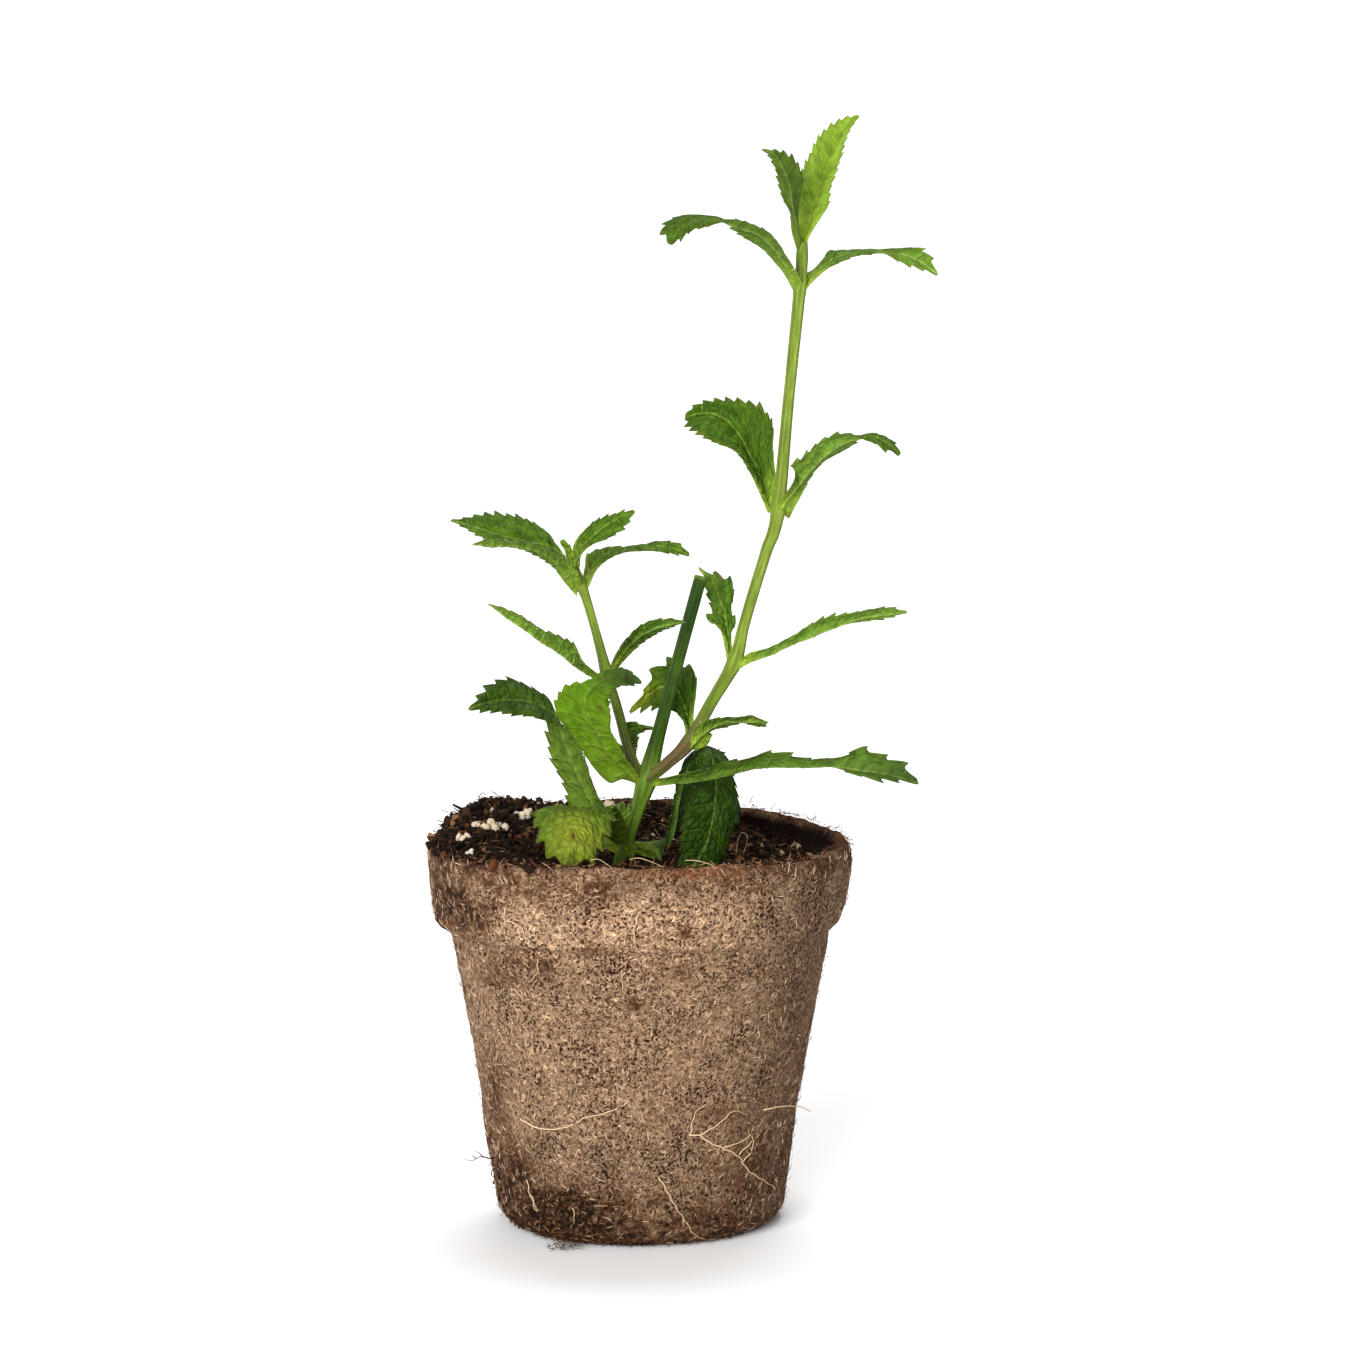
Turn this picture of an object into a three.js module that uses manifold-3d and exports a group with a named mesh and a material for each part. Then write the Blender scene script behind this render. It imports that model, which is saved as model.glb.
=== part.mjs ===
// A young potted purpletop vervain (Verbena bonariensis), pinched off above its top leaf pair so that
// two side shoots carry on, in a round pot of pressed fibre filled with peat compost.
// Millimetres, +Z up, origin at the centre of the pot's base; the plant is seen from the -Y side.

import * as THREE from 'three';
import { mergeVertices } from 'three/addons/utils/BufferGeometryUtils.js';
import Module from 'manifold-3d';

const manifold = await Module();
manifold.setup();

// Driving dimensions
const GAP = 0.3;                // air kept between pieces that touch on the real plant
const ROUND_SIDES = 48;         // segments round the pot and the soil
const POT_TOP = 84;             // height of the rim at the front and back
const RIM_SAG = 2.4;            // how much lower the soft rim sits at the left and right
const SAG_START = 50;           // height where the sag begins
const WALL_WOBBLE = 0.35;       // the pressed wall runs out of round by this much
const SLOT_RADIUS = 17;         // drainage slots lie on this circle of the base
const SLOT_SIZE = [9, 3, 12];   // length, width and cutting depth of a drainage slot
const SLOT_COUNT = 4;

// The pot's section, radius and height, round the outside from the base centre to the inside
const POT_BASE_THICKNESS = 2.6;
const POT_SECTION = [
  [0, 0], [26.5, 0], [29.2, 0.9], [30.7, 3], [31.2, 6], [32.4, 16], [34.1, 29], [34.9, 31],
  [37.2, 45], [40.4, 62.6], [40.9, 64.6], [43.3, 65.6], [43.8, 67.6], [45, 80.6], [44.8, 82.8],
  [43.9, 83.9], [42.9, 84], [42.2, 83.2], [41.9, 81], [38.1, 62], [34.9, 45], [32.1, 30],
  [30.2, 15], [28.7, 6], [26.5, 3.2], [24, POT_BASE_THICKNESS], [0, POT_BASE_THICKNESS],
];
const INNER_WALL = POT_SECTION.slice(17, 25).reverse();

// The compost is heaped at the back left, where it stands over the rim, and has sunk at the right.
// heapAt and heapReach are the heap's centre and spread in x and y; the rest are heights.
const SOIL = {
  level: 77, heap: 11.5, heapAt: [-38, 8], heapReach: [20, 30], backRise: 5, rightDrop: 2.5,
};
const SOIL_OVER_RIM = 2.5;      // the most that the compost stands over the rim where it meets the wall
const SOIL_EDGE_RISE = 1.6;     // the most that it climbs from one ring to the next, inwards
const CRUMB = 0.8;              // height of the random crumbs
const SOIL_RINGS = 15;
const SOIL_FLOOR = POT_BASE_THICKNESS + GAP;
const SOIL_FOOT_RADIUS = 23.5;
const SOIL_SIDE_HEIGHTS = [6.1, 15, 30, 45, 60];
const SOIL_WALL_GAP = GAP + 0.1;
const STEM_HOLE_GAP = 0.35;     // round the stem where it stands in the compost
const PERLITE = [               // x, y, radius and height of the perlite lumps that stand out
  [-32.5, -12, 3.2, 1.8], [-28, -6, 2.6, 1.4], [-24.5, 8, 2.4, 1.4], [-38, -5, 2.2, 1],
  [-7.5, 34, 2.6, 2.2], [33, 5, 2.4, 1.2], [30, -5, 2.2, 1], [26.5, 15, 2.4, 1.2],
];

// Stems: points of the middle line, the half width of the square section at each point, and how far
// the section is turned about the middle line, in degrees
const STEMS = {
  main_stem: {
    path: [[-7, 1, 62], [-4.5, 0, 77], [-3.2, 0, 80.5], [-0.7, 0, 88.5], [1.4, 0, 95.5], [4, 0, 106],
      [8, 0, 122], [12.5, 0, 139]],
    half: [1.4, 1.35, 1.3, 1.4, 1.9, 1.35, 1.25, 1.25], turn: 20,
  },
  left_shoot: {
    path: [[0.5, 0.5, 95], [-1.6, 2, 99], [-3, 3, 103], [-5.2, 4, 111], [-7, 4, 116.5],
      [-7.7, 4, 119.5], [-9.5, 4, 126.5], [-11.5, 4, 133.5], [-12.7, 3, 137], [-14.2, 2, 141],
      [-15.6, 1, 145]],
    half: [1.05, 1, 1, 1, 1.05, 1.1, 0.9, 0.95, 1.1, 0.85, 0.6], turn: 15,
  },
  right_shoot: {
    path: [[1.5, -1, 95.5], [6, -3, 99.5], [10.3, -4, 104], [15.3, -5, 113], [20, -6, 121.5],
      [21.9, -6, 129], [24.2, -6, 137], [26.4, -5, 145], [28.6, -4, 153], [30.8, -2, 177],
      [33.8, 0, 201], [34.3, 0, 210]],
    half: [1.15, 1.15, 1.35, 1.15, 1.35, 1.1, 1.1, 1.15, 1.25, 1.05, 1.2, 1], turn: 10,
  },
};
const STEM_STEP = 4;            // a section every so many millimetres along a stem
const STEM_CORNER = 0.62;       // half length of the square section's flat sides, as a share of half

// Leaves. rib, left and right are three lines from the stem to the tip: the midrib and the two
// margins, where left and right are those of someone who walks out along the leaf's upper face.
// teeth: teeth on each margin. from: the stems that the leaf's foot is cut clear of.
const LEAVES = [
  {
    name: 'leaf_low_front', from: ['main_stem'], teeth: 7, pale: true,
    rib: [[-3.5, -1.5, 82], [-7.5, -7.5, 86.5], [-11, -13, 90], [-13, -21, 92.5], [-13.5, -28, 90],
      [-14, -32, 86], [-14.5, -33, 82.5]],
    left: [[-2.5, 0, 83], [-3.5, -3, 87], [-5, -9, 91], [-5.5, -17, 92], [-5, -23, 90.5],
      [-6.5, -27.5, 87.5], [-8, -30.5, 84.5], [-10.5, -32, 82.5], [-14.5, -33, 82.5]],
    right: [[-5, -3, 81.5], [-9, -9, 86], [-15, -14, 90.5], [-19.5, -18, 91.5], [-23, -22.5, 91.5],
      [-22, -26.5, 89], [-20.5, -29.5, 85.5], [-18, -31.5, 83], [-14.5, -33, 82.5]],
  },
  {
    name: 'leaf_low_inner', from: ['main_stem'], teeth: 3,
    rib: [[-2, 0.5, 82.5], [-3, -0.5, 84.5], [-4.5, -1.5, 87.5], [-4.5, -2, 90.5]],
    left: [[-1.5, 1, 83.5], [-2, 0.5, 86], [-2, -1, 88.5], [-3, -2, 90.5], [-4.5, -2, 90.5]],
    right: [[-2, 0, 81.5], [-5.5, 0, 81.5], [-7.5, -0.5, 85], [-6.5, -1.5, 89], [-4.5, -2, 90.5]],
  },
  {
    name: 'leaf_low_left', from: ['main_stem'], teeth: 11,
    rib: [[-3.5, 1, 80.5], [-8, 3, 86], [-11, 3.5, 91], [-13, 4, 95], [-14.5, 4.5, 99], [-16, 5, 102.5],
      [-17.5, 6, 106.5], [-20, 7, 109], [-23.5, 8, 110.5], [-28.5, 8.5, 111], [-33.5, 7, 110.5],
      [-37, 6, 109.5]],
    left: [[-2.5, 0.5, 81.5], [-5, 1.5, 83.5], [-7, 1.5, 88], [-9, 0.5, 91.5], [-10.5, 0, 96],
      [-12, 0, 100], [-13.5, 0.5, 104], [-16, 1.5, 106.5], [-19.5, 2, 107], [-24.5, 3, 108.5],
      [-30, 4, 109], [-33.5, 5, 109], [-37, 6, 109.5]],
    right: [[-5, 3, 78], [-9.5, 6, 81.5], [-13.5, 7, 88], [-15.5, 8, 93], [-17.5, 8.5, 97.5],
      [-19, 9, 102], [-19.5, 10, 107], [-20, 11, 111], [-24, 12, 114], [-28.5, 12, 115.5],
      [-32.5, 10, 114.5], [-35, 7.5, 112], [-37, 6, 109.5]],
  },
  {
    name: 'leaf_low_right', from: ['main_stem'], teeth: 13,
    rib: [[-3, -1, 81], [1, -3, 80.5], [4.5, -4, 81], [7, -2.5, 84.5], [8, 0.5, 90], [9.5, 3, 95.5],
      [11, 3.5, 99.5], [13, 1.5, 102], [14.5, -2, 102], [15.5, -4.5, 99.5], [16, -6.5, 95],
      [15.5, -7.5, 89], [13.5, -8.5, 82], [10, -9, 76.5]],
    left: [[-2.5, 1, 82], [1.5, 1, 81.5], [6, 1.5, 82.5], [9, 3.5, 85], [11, 5, 88.5], [13, 6, 93.5],
      [14.5, 6, 97], [16, 4, 100.5], [18, 0.5, 100.5], [19.5, -2, 98], [20.5, -4, 95], [21, -4.5, 91.5],
      [21, -5.5, 88.5], [19.5, -6.5, 83.5], [17.5, -7.5, 79], [14, -8.5, 77], [10, -9, 76.5]],
    right: [[-2.5, -2.5, 80.5], [1, -5, 79.5], [4, -6, 79.5], [5.5, -5, 83], [6.5, -2, 88],
      [7.5, 1, 93.5], [9, 2, 98], [11, -0.5, 100.5], [12, -4, 99.5], [11.5, -6, 96.5], [10.5, -8, 92.5],
      [8.5, -9, 86], [8, -9.5, 80], [8.5, -9.5, 77.5], [10, -9, 76.5]],
  },
  {
    name: 'leaf_top_left', from: ['main_stem', 'left_shoot', 'right_shoot'], teeth: 9, pale: true,
    rib: [[0, -0.5, 94.5], [-3.5, -3, 98.5], [-6.5, -6, 102], [-8.5, -9, 106.5], [-10.5, -12, 110.5],
      [-11.5, -14, 114.5], [-10, -15.5, 117.5], [-7.5, -15, 119], [-3.5, -14, 119.5], [0.5, -13, 118]],
    left: [[0, -2, 96], [-2, -6, 99.5], [-4, -9.5, 103.5], [-6, -11.5, 107.5], [-6, -13, 111],
      [-6.5, -14.5, 114.5], [-5.5, -15, 116.5], [-4, -14.5, 117.5], [-2, -14, 117.5], [0.5, -13, 118]],
    right: [[-1.5, 0.5, 94.5], [-4, -1, 95.5], [-6.5, -2.5, 95], [-9.5, -4, 98], [-12.5, -6.5, 102.5],
      [-15.5, -9, 108], [-18, -11, 111.5], [-17.5, -13, 115.5], [-15, -14.5, 118], [-11, -15, 119],
      [-7.5, -14.5, 121], [-3.5, -14, 121.5], [-1, -13.5, 120], [0.5, -13, 118]],
  },
  {
    name: 'leaf_top_right', from: ['main_stem', 'right_shoot'], teeth: 10,
    rib: [[2.5, -1, 94.5], [7, -7, 96], [12.5, -13, 97.5], [17.5, -17, 99], [22.5, -21, 101],
      [27.5, -24, 102], [33.5, -27, 102.5], [39.5, -29.5, 103], [45.5, -31.5, 102.5], [51, -33.5, 102],
      [58, -35, 100]],
    left: [[3, 0.5, 94], [7.5, -5, 96], [12.5, -10, 98], [18, -13.5, 100], [23, -17, 101.5],
      [28, -19.5, 103], [33.5, -22, 102.5], [40, -25, 102.5], [44, -27.5, 101], [48.5, -30, 100],
      [53.5, -33, 100.5], [58, -35, 100]],
    right: [[3, -3, 96], [7, -9, 97.5], [11.5, -15, 99.5], [17.5, -21, 102.5], [22.5, -25, 104],
      [27, -28, 106], [33, -30, 105], [38.5, -31.5, 105], [42.5, -32.5, 105.5], [46.5, -34, 108],
      [50.5, -35, 106.5], [55, -36, 104.5], [58, -35, 100]],
  },
  {
    name: 'leaf_left_first', from: ['main_stem', 'left_shoot'], teeth: 4,
    rib: [[0, 0.5, 95.5], [-1, 3, 98], [-2, 4.5, 101.5], [-2.5, 5.5, 104.5], [-0.5, 6, 105.5],
      [3, 5.5, 105.5]],
    left: [[-0.5, 0, 95], [-2.5, 1.5, 98], [-4, 3, 101.5], [-4.5, 4.5, 105.5], [-4, 6, 107.5],
      [-0.5, 6.5, 106.5], [3, 5.5, 105.5]],
    right: [[0.5, 0.5, 96], [-1, 2.5, 98.5], [-0.5, 3.5, 102], [0, 4, 104.5], [1.5, 5, 105],
      [3, 5.5, 105.5]],
  },
  {
    name: 'leaf_left_2a', from: ['left_shoot'], teeth: 8,
    rib: [[-8.5, 3, 116.5], [-13, -3, 120], [-17.5, -7, 124], [-21.5, -10, 127], [-26.5, -12.5, 131],
      [-32, -14, 135]],
    left: [[-8.5, 1.5, 117.5], [-12, -5, 121.5], [-14, -9, 126], [-17.5, -12, 128.5], [-21.5, -14, 130],
      [-25, -15.5, 133], [-28.5, -15.5, 134.5], [-32, -14, 135]],
    right: [[-9, 4, 117], [-13, 0, 120.5], [-16.5, -4, 124], [-20.5, -7.5, 127], [-25, -10.5, 130],
      [-29, -13, 133], [-32, -14, 135]],
  },
  {
    name: 'leaf_left_2b', from: ['left_shoot'], teeth: 6,
    rib: [[-6, 3.5, 119], [-4, 1, 122.5], [-1.5, -2.5, 125.5], [1.5, -5.5, 128], [5, -8, 129.5],
      [9.5, -9, 130.5]],
    left: [[-5, 5, 118.5], [-3, 3, 121], [-0.5, 1, 123.5], [2, -1.5, 126], [4.5, -5, 128], [7, -7.5, 129],
      [9.5, -9, 130.5]],
    right: [[-6.5, 2.5, 119], [-5, -1.5, 122.5], [-3, -5.5, 126.5], [0, -8, 129.5], [3, -10, 131],
      [6.5, -10.5, 131.5], [9.5, -9, 130.5]],
  },
  {
    name: 'leaf_left_3a', from: ['left_shoot'], teeth: 9,
    rib: [[-13.5, 2, 139.5], [-16.5, 4.5, 143], [-19.5, 7.5, 144.5], [-24.5, 10.5, 145], [-30, 13, 146],
      [-35.5, 15.5, 147.5], [-41, 17, 149]],
    left: [[-14.5, 1.5, 138.5], [-17, 3, 141.5], [-20.5, 4.5, 143], [-25.5, 7, 144], [-30, 10, 145],
      [-34.5, 13, 146], [-38, 15.5, 147.5], [-41, 17, 149]],
    right: [[-13.5, 4, 140.5], [-15.5, 6, 142], [-18, 7.5, 143.5], [-19, 9.5, 146.5], [-22, 13, 148.5],
      [-27, 16, 150.5], [-32.5, 18, 150.5], [-37.5, 18.5, 149.5], [-41, 17, 149]],
  },
  {
    name: 'leaf_left_3b', from: ['left_shoot'], teeth: 8,
    rib: [[-13.5, 2.5, 136], [-15.5, -1, 139.5], [-18, -4.5, 143], [-20.5, -8, 145], [-25, -12, 147],
      [-30, -15.5, 147.5], [-35, -18, 148]],
    left: [[-12.5, 0, 138], [-14, -4, 141.5], [-16.5, -8, 144.5], [-20, -12, 146.5], [-24, -15.5, 148.5],
      [-29, -18, 149], [-32.5, -18.5, 149], [-35, -18, 148]],
    right: [[-13.5, 4.5, 134], [-16, 2, 137.5], [-18, -1, 140.5], [-20, -4, 142.5], [-23, -8, 145],
      [-26.5, -11.5, 146.5], [-31, -15, 147], [-35, -18, 148]],
  },
  {
    name: 'leaf_left_3c', from: ['left_shoot'], teeth: 6,
    rib: [[-13.5, 1.5, 141], [-13, -2, 144.5], [-11, -4.5, 147], [-8.5, -6.5, 149.5], [-5, -8, 152],
      [-1, -9, 154]],
    left: [[-14, 3, 141.5], [-14, 1, 145.5], [-12.5, -1, 148.5], [-9.5, -3.5, 151.5], [-6, -6, 153],
      [-3.5, -8, 154], [-1, -9, 154]],
    right: [[-13, 0.5, 140.5], [-12.5, -4, 144], [-10, -7.5, 146.5], [-7, -9.5, 148], [-4, -10.5, 150],
      [-2, -10.5, 152], [-1, -9, 154]],
  },
  {
    name: 'leaf_left_3d', from: ['left_shoot'], teeth: 7,
    rib: [[-12, 3.5, 136], [-11, 6, 139], [-8.5, 9, 142], [-5, 12, 143], [-1, 14, 143], [3, 14.5, 143.5],
      [6.5, 15, 143], [10.5, 15, 141.5]],
    left: [[-12.5, 4.5, 136.5], [-12, 8, 140], [-11.5, 11, 142.5], [-7.5, 13.5, 143.5], [-3.5, 15, 143.5],
      [0.5, 16.5, 144], [4.5, 17, 144.5], [8.5, 16.5, 144], [10.5, 15, 141.5]],
    right: [[-11, 2, 136.5], [-9.5, 4, 139.5], [-7, 6.5, 141.5], [-3.5, 9.5, 143], [0.5, 12, 143],
      [4, 13, 142.5], [7.5, 14, 142], [10.5, 15, 141.5]],
  },
  {
    name: 'leaf_right_1a', from: ['right_shoot'], teeth: 5,
    rib: [[10.5, -3.5, 102.5], [10.5, 2, 106.5], [9.5, 5, 110], [8, 7.5, 113.5], [5, 9, 114],
      [1, 10, 111.5], [-2.5, 10, 108.5]],
    left: [[9.5, -4, 103], [9.5, 0, 106.5], [7.5, 3.5, 109], [4.5, 6.5, 109.5], [1, 8.5, 109],
      [-2.5, 10, 108.5]],
    right: [[11.5, -4, 104], [11.5, 1, 108], [12, 4.5, 113], [11.5, 7.5, 118], [7.5, 9, 120],
      [3, 10, 118], [1, 10, 113.5], [-2.5, 10, 108.5]],
  },
  {
    name: 'leaf_right_1b', from: ['right_shoot'], teeth: 6,
    rib: [[10.5, -4.5, 103], [12.5, -6.5, 105.5], [15, -9.5, 108], [17.5, -12, 109.5], [20.5, -14.5, 110],
      [23.5, -17, 110.5], [26.5, -18, 110]],
    left: [[12, -3.5, 102], [14.5, -5.5, 104], [15.5, -8, 107], [18.5, -10, 108], [21.5, -12.5, 109.5],
      [24.5, -15, 109], [26, -16.5, 109], [26.5, -18, 110]],
    right: [[10.5, -5.5, 104.5], [12, -9, 108], [14, -12, 110], [17.5, -15, 111], [20.5, -17, 111],
      [23.5, -19, 112], [26, -19, 111], [26.5, -18, 110]],
  },
  {
    name: 'leaf_right_2a', from: ['right_shoot'], teeth: 6,
    rib: [[19.5, -5.5, 121], [19, -2.5, 124.5], [18.5, 0, 127.5], [18, 2, 130], [17, 4, 133],
      [16, 6, 135.5], [15, 7.5, 137.5], [12.5, 8, 140]],
    left: [[18.5, -6, 121], [18, -4, 124], [17, -1.5, 127.5], [15.5, -0.5, 129], [14, 0.5, 130],
      [15, 2.5, 132], [14, 5, 134], [13.5, 7, 136.5], [13.5, 8, 138], [12.5, 8, 140]],
    right: [[20, -5, 121.5], [19.5, -3, 124.5], [19.5, 0, 127.5], [20.5, 1.5, 129.5], [19.5, 3.5, 132],
      [20, 5.5, 134], [20, 7.5, 136.5], [18, 9, 138], [14.5, 9, 138.5], [12.5, 8, 140]],
  },
  {
    name: 'leaf_right_2b', from: ['right_shoot'], teeth: 9,
    rib: [[20.5, -6.5, 120.5], [23.5, -9, 122.5], [27, -11.5, 124], [31.5, -14, 126.5],
      [36, -16.5, 128.5], [40.5, -18.5, 130.5], [45.5, -20, 132.5], [50.5, -21, 133.5], [56, -21, 134]],
    left: [[21.5, -5.5, 120.5], [24, -7.5, 123], [28.5, -9.5, 125], [33, -12, 127.5], [37, -14.5, 129.5],
      [41, -16.5, 130.5], [45, -18.5, 131.5], [48.5, -19.5, 132], [52.5, -20.5, 133], [56, -21, 134]],
    right: [[20.5, -7.5, 121.5], [23, -10, 124], [27, -12.5, 125.5], [31.5, -15.5, 128], [35, -18, 131],
      [38.5, -20, 133], [43, -21.5, 134], [47.5, -22.5, 135], [52.5, -23, 135.5], [56, -21, 134]],
  },
  {
    name: 'leaf_right_3a', from: ['right_shoot'], teeth: 10,
    rib: [[28, -3.5, 153.5], [26.5, 0, 157], [25, 3, 161], [23, 5.5, 165], [21, 8, 168.5],
      [18, 10.5, 171.5], [14, 12, 172.5], [9.5, 13, 171.5]],
    left: [[27, -4, 153], [25.5, -2.5, 156.5], [24, -0.5, 160], [22, 2, 163], [19.5, 4, 165.5],
      [15.5, 6.5, 167], [12, 9, 168.5], [10, 11, 170], [9.5, 13, 171.5]],
    right: [[29, -4.5, 154], [29, -3, 157.5], [28.5, -1, 162], [28.5, 1, 166.5], [28.5, 3, 170],
      [27, 6, 173.5], [24, 8.5, 175.5], [19.5, 10.5, 176], [14.5, 12, 175.5], [11, 13, 174],
      [9.5, 13, 171.5]],
  },
  {
    name: 'leaf_right_3b', from: ['right_shoot'], teeth: 8,
    rib: [[29.5, -4.5, 153.5], [31, -7, 156.5], [33.5, -10, 160], [36.5, -13, 164], [39.5, -15.5, 167],
      [43, -17.5, 169.5], [46.5, -19, 170.5], [49.5, -20.5, 170.5], [52, -21.5, 169], [54, -22, 167]],
    left: [[31.5, -3, 151.5], [33, -5, 155], [35.5, -7.5, 160], [39, -10, 164.5], [43, -12.5, 167.5],
      [45.5, -15, 169], [47.5, -17, 171], [50.5, -18.5, 171], [53, -20, 170], [54, -21.5, 168.5],
      [54, -22, 167]],
    right: [[29, -5.5, 154.5], [31, -9.5, 158], [32.5, -12, 160.5], [32.5, -13, 163],
      [31.5, -13.5, 164.5], [33.5, -15, 166], [35, -16, 167.5], [36.5, -17, 169], [38.5, -18.5, 170.5],
      [41.5, -19.5, 171.5], [44.5, -20.5, 171.5], [46.5, -21.5, 170.5], [49, -22, 169.5], [51, -23, 168],
      [52.5, -23, 168], [54, -22, 167]],
  },
  {
    name: 'leaf_right_4a', from: ['right_shoot'], teeth: 10,
    rib: [[33.5, -0.5, 200.5], [31.5, -3, 204.5], [28.5, -5.5, 209], [24.5, -8.5, 212.5],
      [20.5, -11, 214], [16.5, -13, 215.5], [12, -15, 215.5], [8.5, -16.5, 214], [6.5, -17, 210.5]],
    left: [[34.5, -1, 201], [33, -4, 204], [30, -8, 208.5], [27.5, -10, 212.5], [24, -12, 214.5],
      [20.5, -13.5, 215.5], [17, -15, 215], [13.5, -16.5, 214], [11, -17.5, 213.5], [8.5, -18, 211.5],
      [6.5, -17, 210.5]],
    right: [[32.5, 0.5, 199.5], [30.5, -0.5, 203], [28.5, -2, 205.5], [25.5, -4, 209], [22.5, -6.5, 211],
      [20, -9, 212.5], [16.5, -11.5, 215.5], [13.5, -12.5, 216.5], [9.5, -13.5, 216.5], [6, -15, 215.5],
      [4.5, -16.5, 213.5], [6.5, -17, 210.5]],
  },
  {
    name: 'leaf_right_4b', from: ['right_shoot'], teeth: 7,
    rib: [[34.5, 0.5, 200.5], [36, 2, 202.5], [38.5, 4.5, 204.5], [41.5, 7, 206], [45, 9.5, 207],
      [48.5, 11.5, 207], [52, 13, 207], [56, 13.5, 206.5], [59.5, 14, 205], [63.5, 14, 202]],
    left: [[34, 1.5, 201], [35, 3, 203], [37, 5.5, 204], [39, 8, 206], [40, 10, 207.5], [43.5, 12, 207.5],
      [47, 13.5, 207.5], [51, 15, 207], [54.5, 15.5, 205], [57, 16, 204], [61, 16, 202.5],
      [63.5, 14, 202]],
    right: [[35, -1, 200], [37, 0, 202], [39.5, 2, 204], [42.5, 4.5, 205.5], [46, 7, 206.5],
      [49.5, 9, 206.5], [52.5, 10.5, 207.5], [56, 11.5, 208], [59.5, 12.5, 208], [62, 13.5, 206],
      [63.5, 14, 202]],
  },
  {
    name: 'leaf_right_5a', from: ['right_shoot'], teeth: 10, pale: true,
    rib: [[34, 0.5, 208.5], [35.5, 2, 213], [36.5, 3.5, 218], [38.5, 5.5, 223], [40.5, 7, 228],
      [43, 8, 232.5], [46.5, 9, 236]],
    left: [[33.5, 0, 209], [33, 1.5, 213.5], [33, 3, 218], [33.5, 4, 222], [34.5, 5, 225.5], [36, 6, 229],
      [38.5, 7, 232.5], [41, 8, 234.5], [44, 9, 235.5], [46.5, 9, 236]],
    right: [[35, -0.5, 209], [35.5, 0.5, 212], [37.5, 1.5, 216], [39.5, 2.5, 218], [40.5, 3.5, 221],
      [41.5, 4.5, 224], [42.5, 5.5, 227.5], [43.5, 6.5, 231], [45, 8, 234], [46.5, 9, 236]],
  },
  {
    name: 'leaf_right_5b', from: ['right_shoot'], teeth: 8,
    rib: [[33.5, -0.5, 209], [33, -3, 214], [32, -5, 218], [31.5, -6.5, 222], [30, -8, 226],
      [28.5, -9, 228.5], [25.5, -10, 230]],
    left: [[34.5, 0, 209], [33.5, -1.5, 213], [33.5, -3, 218], [34, -4, 222], [34, -5.5, 225.5],
      [32.5, -7, 228], [30, -8, 229.5], [27, -9.5, 230], [25.5, -10, 230]],
    right: [[33, 0, 208.5], [32.5, -1, 212], [32, -2.5, 216.5], [30.5, -4, 219], [30, -5, 222],
      [29, -6, 225], [28.5, -7.5, 227.5], [27, -9, 229.5], [25.5, -10, 230]],
  },
];

// The youngest leaf stands at the left shoot's tip and is one piece with it
const TIP_LEAFLET = {
  teeth: 3,
  rib: [[-13.5, 0.5, 141], [-15, 0, 144], [-16.5, -0.5, 147]],
  left: [[-14.5, 0.5, 141], [-15.5, 0, 144], [-17, -0.5, 146], [-16.5, -0.5, 147]],
  right: [[-13, 0.5, 141.5], [-14, 0, 144], [-15, -0.5, 146], [-16.5, -0.5, 147]],
};
const LEAF_THICKNESS = 0.68;
const TOOTH_HEIGHT = 0.26;      // a tooth's height as a share of its length
const TOOTH_PEAK = 0.7;         // where in its length a tooth is highest, towards the leaf's tip
const TEETH_GROW = [0.1, 0.3];  // shares of the leaf over which its teeth grow to full size
const TEETH_FADE = [0.94, 1];   // and fade again at the tip
const SMALL_HALF_WIDTH = 2;     // teeth shrink where the half blade is narrower than about this
const DOME = 0.28;              // how far each half swells up, as a share of its width
const WIDEST_FOLD = 1;          // longest sum of the two halves' directions, both of length 1
const NARROW = [1, 3];          // mm of half width below which the halves turn level
const LEAST_HALF_WIDTH = 0.45;
const FIRST_ROWS = [0, 0.05];   // shares of the length; the toothed rows follow, then the last one
const TEETH_START = 0.1;
const TEETH_END = 0.955;
const LAST_ROW = 0.985;
const ACROSS = [-1, -0.5, 0, 0.5, 1];

// Colour and roughness of each material
const FINISH = {
  fibre: [0xa88672, 0.95],
  peat: [0x2a1d17, 1],
  stem: [0x5b7a2e, 0.6],
  shoot: [0x9db552, 0.6],
  leaf: [0x3f6a22, 0.7],
  paleLeaf: [0x7d9c35, 0.7],
};

const clamp01 = (t) => Math.min(1, Math.max(0, t));
const smooth = (from, to, t) => {
  const k = clamp01((t - from) / (to - from));
  return k * k * (3 - 2 * k);
};

// Seeded random numbers, the same on each run
function randomFrom(seed) {
  let state = seed;
  return () => {
    state = (state * 1664525 + 1013904223) % 4294967296;
    return state / 4294967296;
  };
}

function solidOf(geometry) {
  const bare = geometry.clone();
  bare.deleteAttribute('normal');
  bare.deleteAttribute('uv');
  const merged = mergeVertices(bare, 1e-4);
  return new manifold.Manifold(new manifold.Mesh({
    numProp: 3,
    vertProperties: new Float32Array(merged.attributes.position.array),
    triVerts: new Uint32Array(merged.index.array),
  }));
}

function geometryOf(solid) {
  const mesh = solid.getMesh();
  const geometry = new THREE.BufferGeometry();
  geometry.setAttribute('position', new THREE.BufferAttribute(mesh.vertProperties, 3));
  geometry.setIndex(new THREE.BufferAttribute(mesh.triVerts, 1));
  geometry.computeVertexNormals();
  return geometry;
}

// The largest body of a solid: scraps that a cut leaves behind are dropped
function largestBody(solid) {
  return solid.decompose().reduce((best, body) => (body.volume() > best.volume() ? body : best));
}

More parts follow.
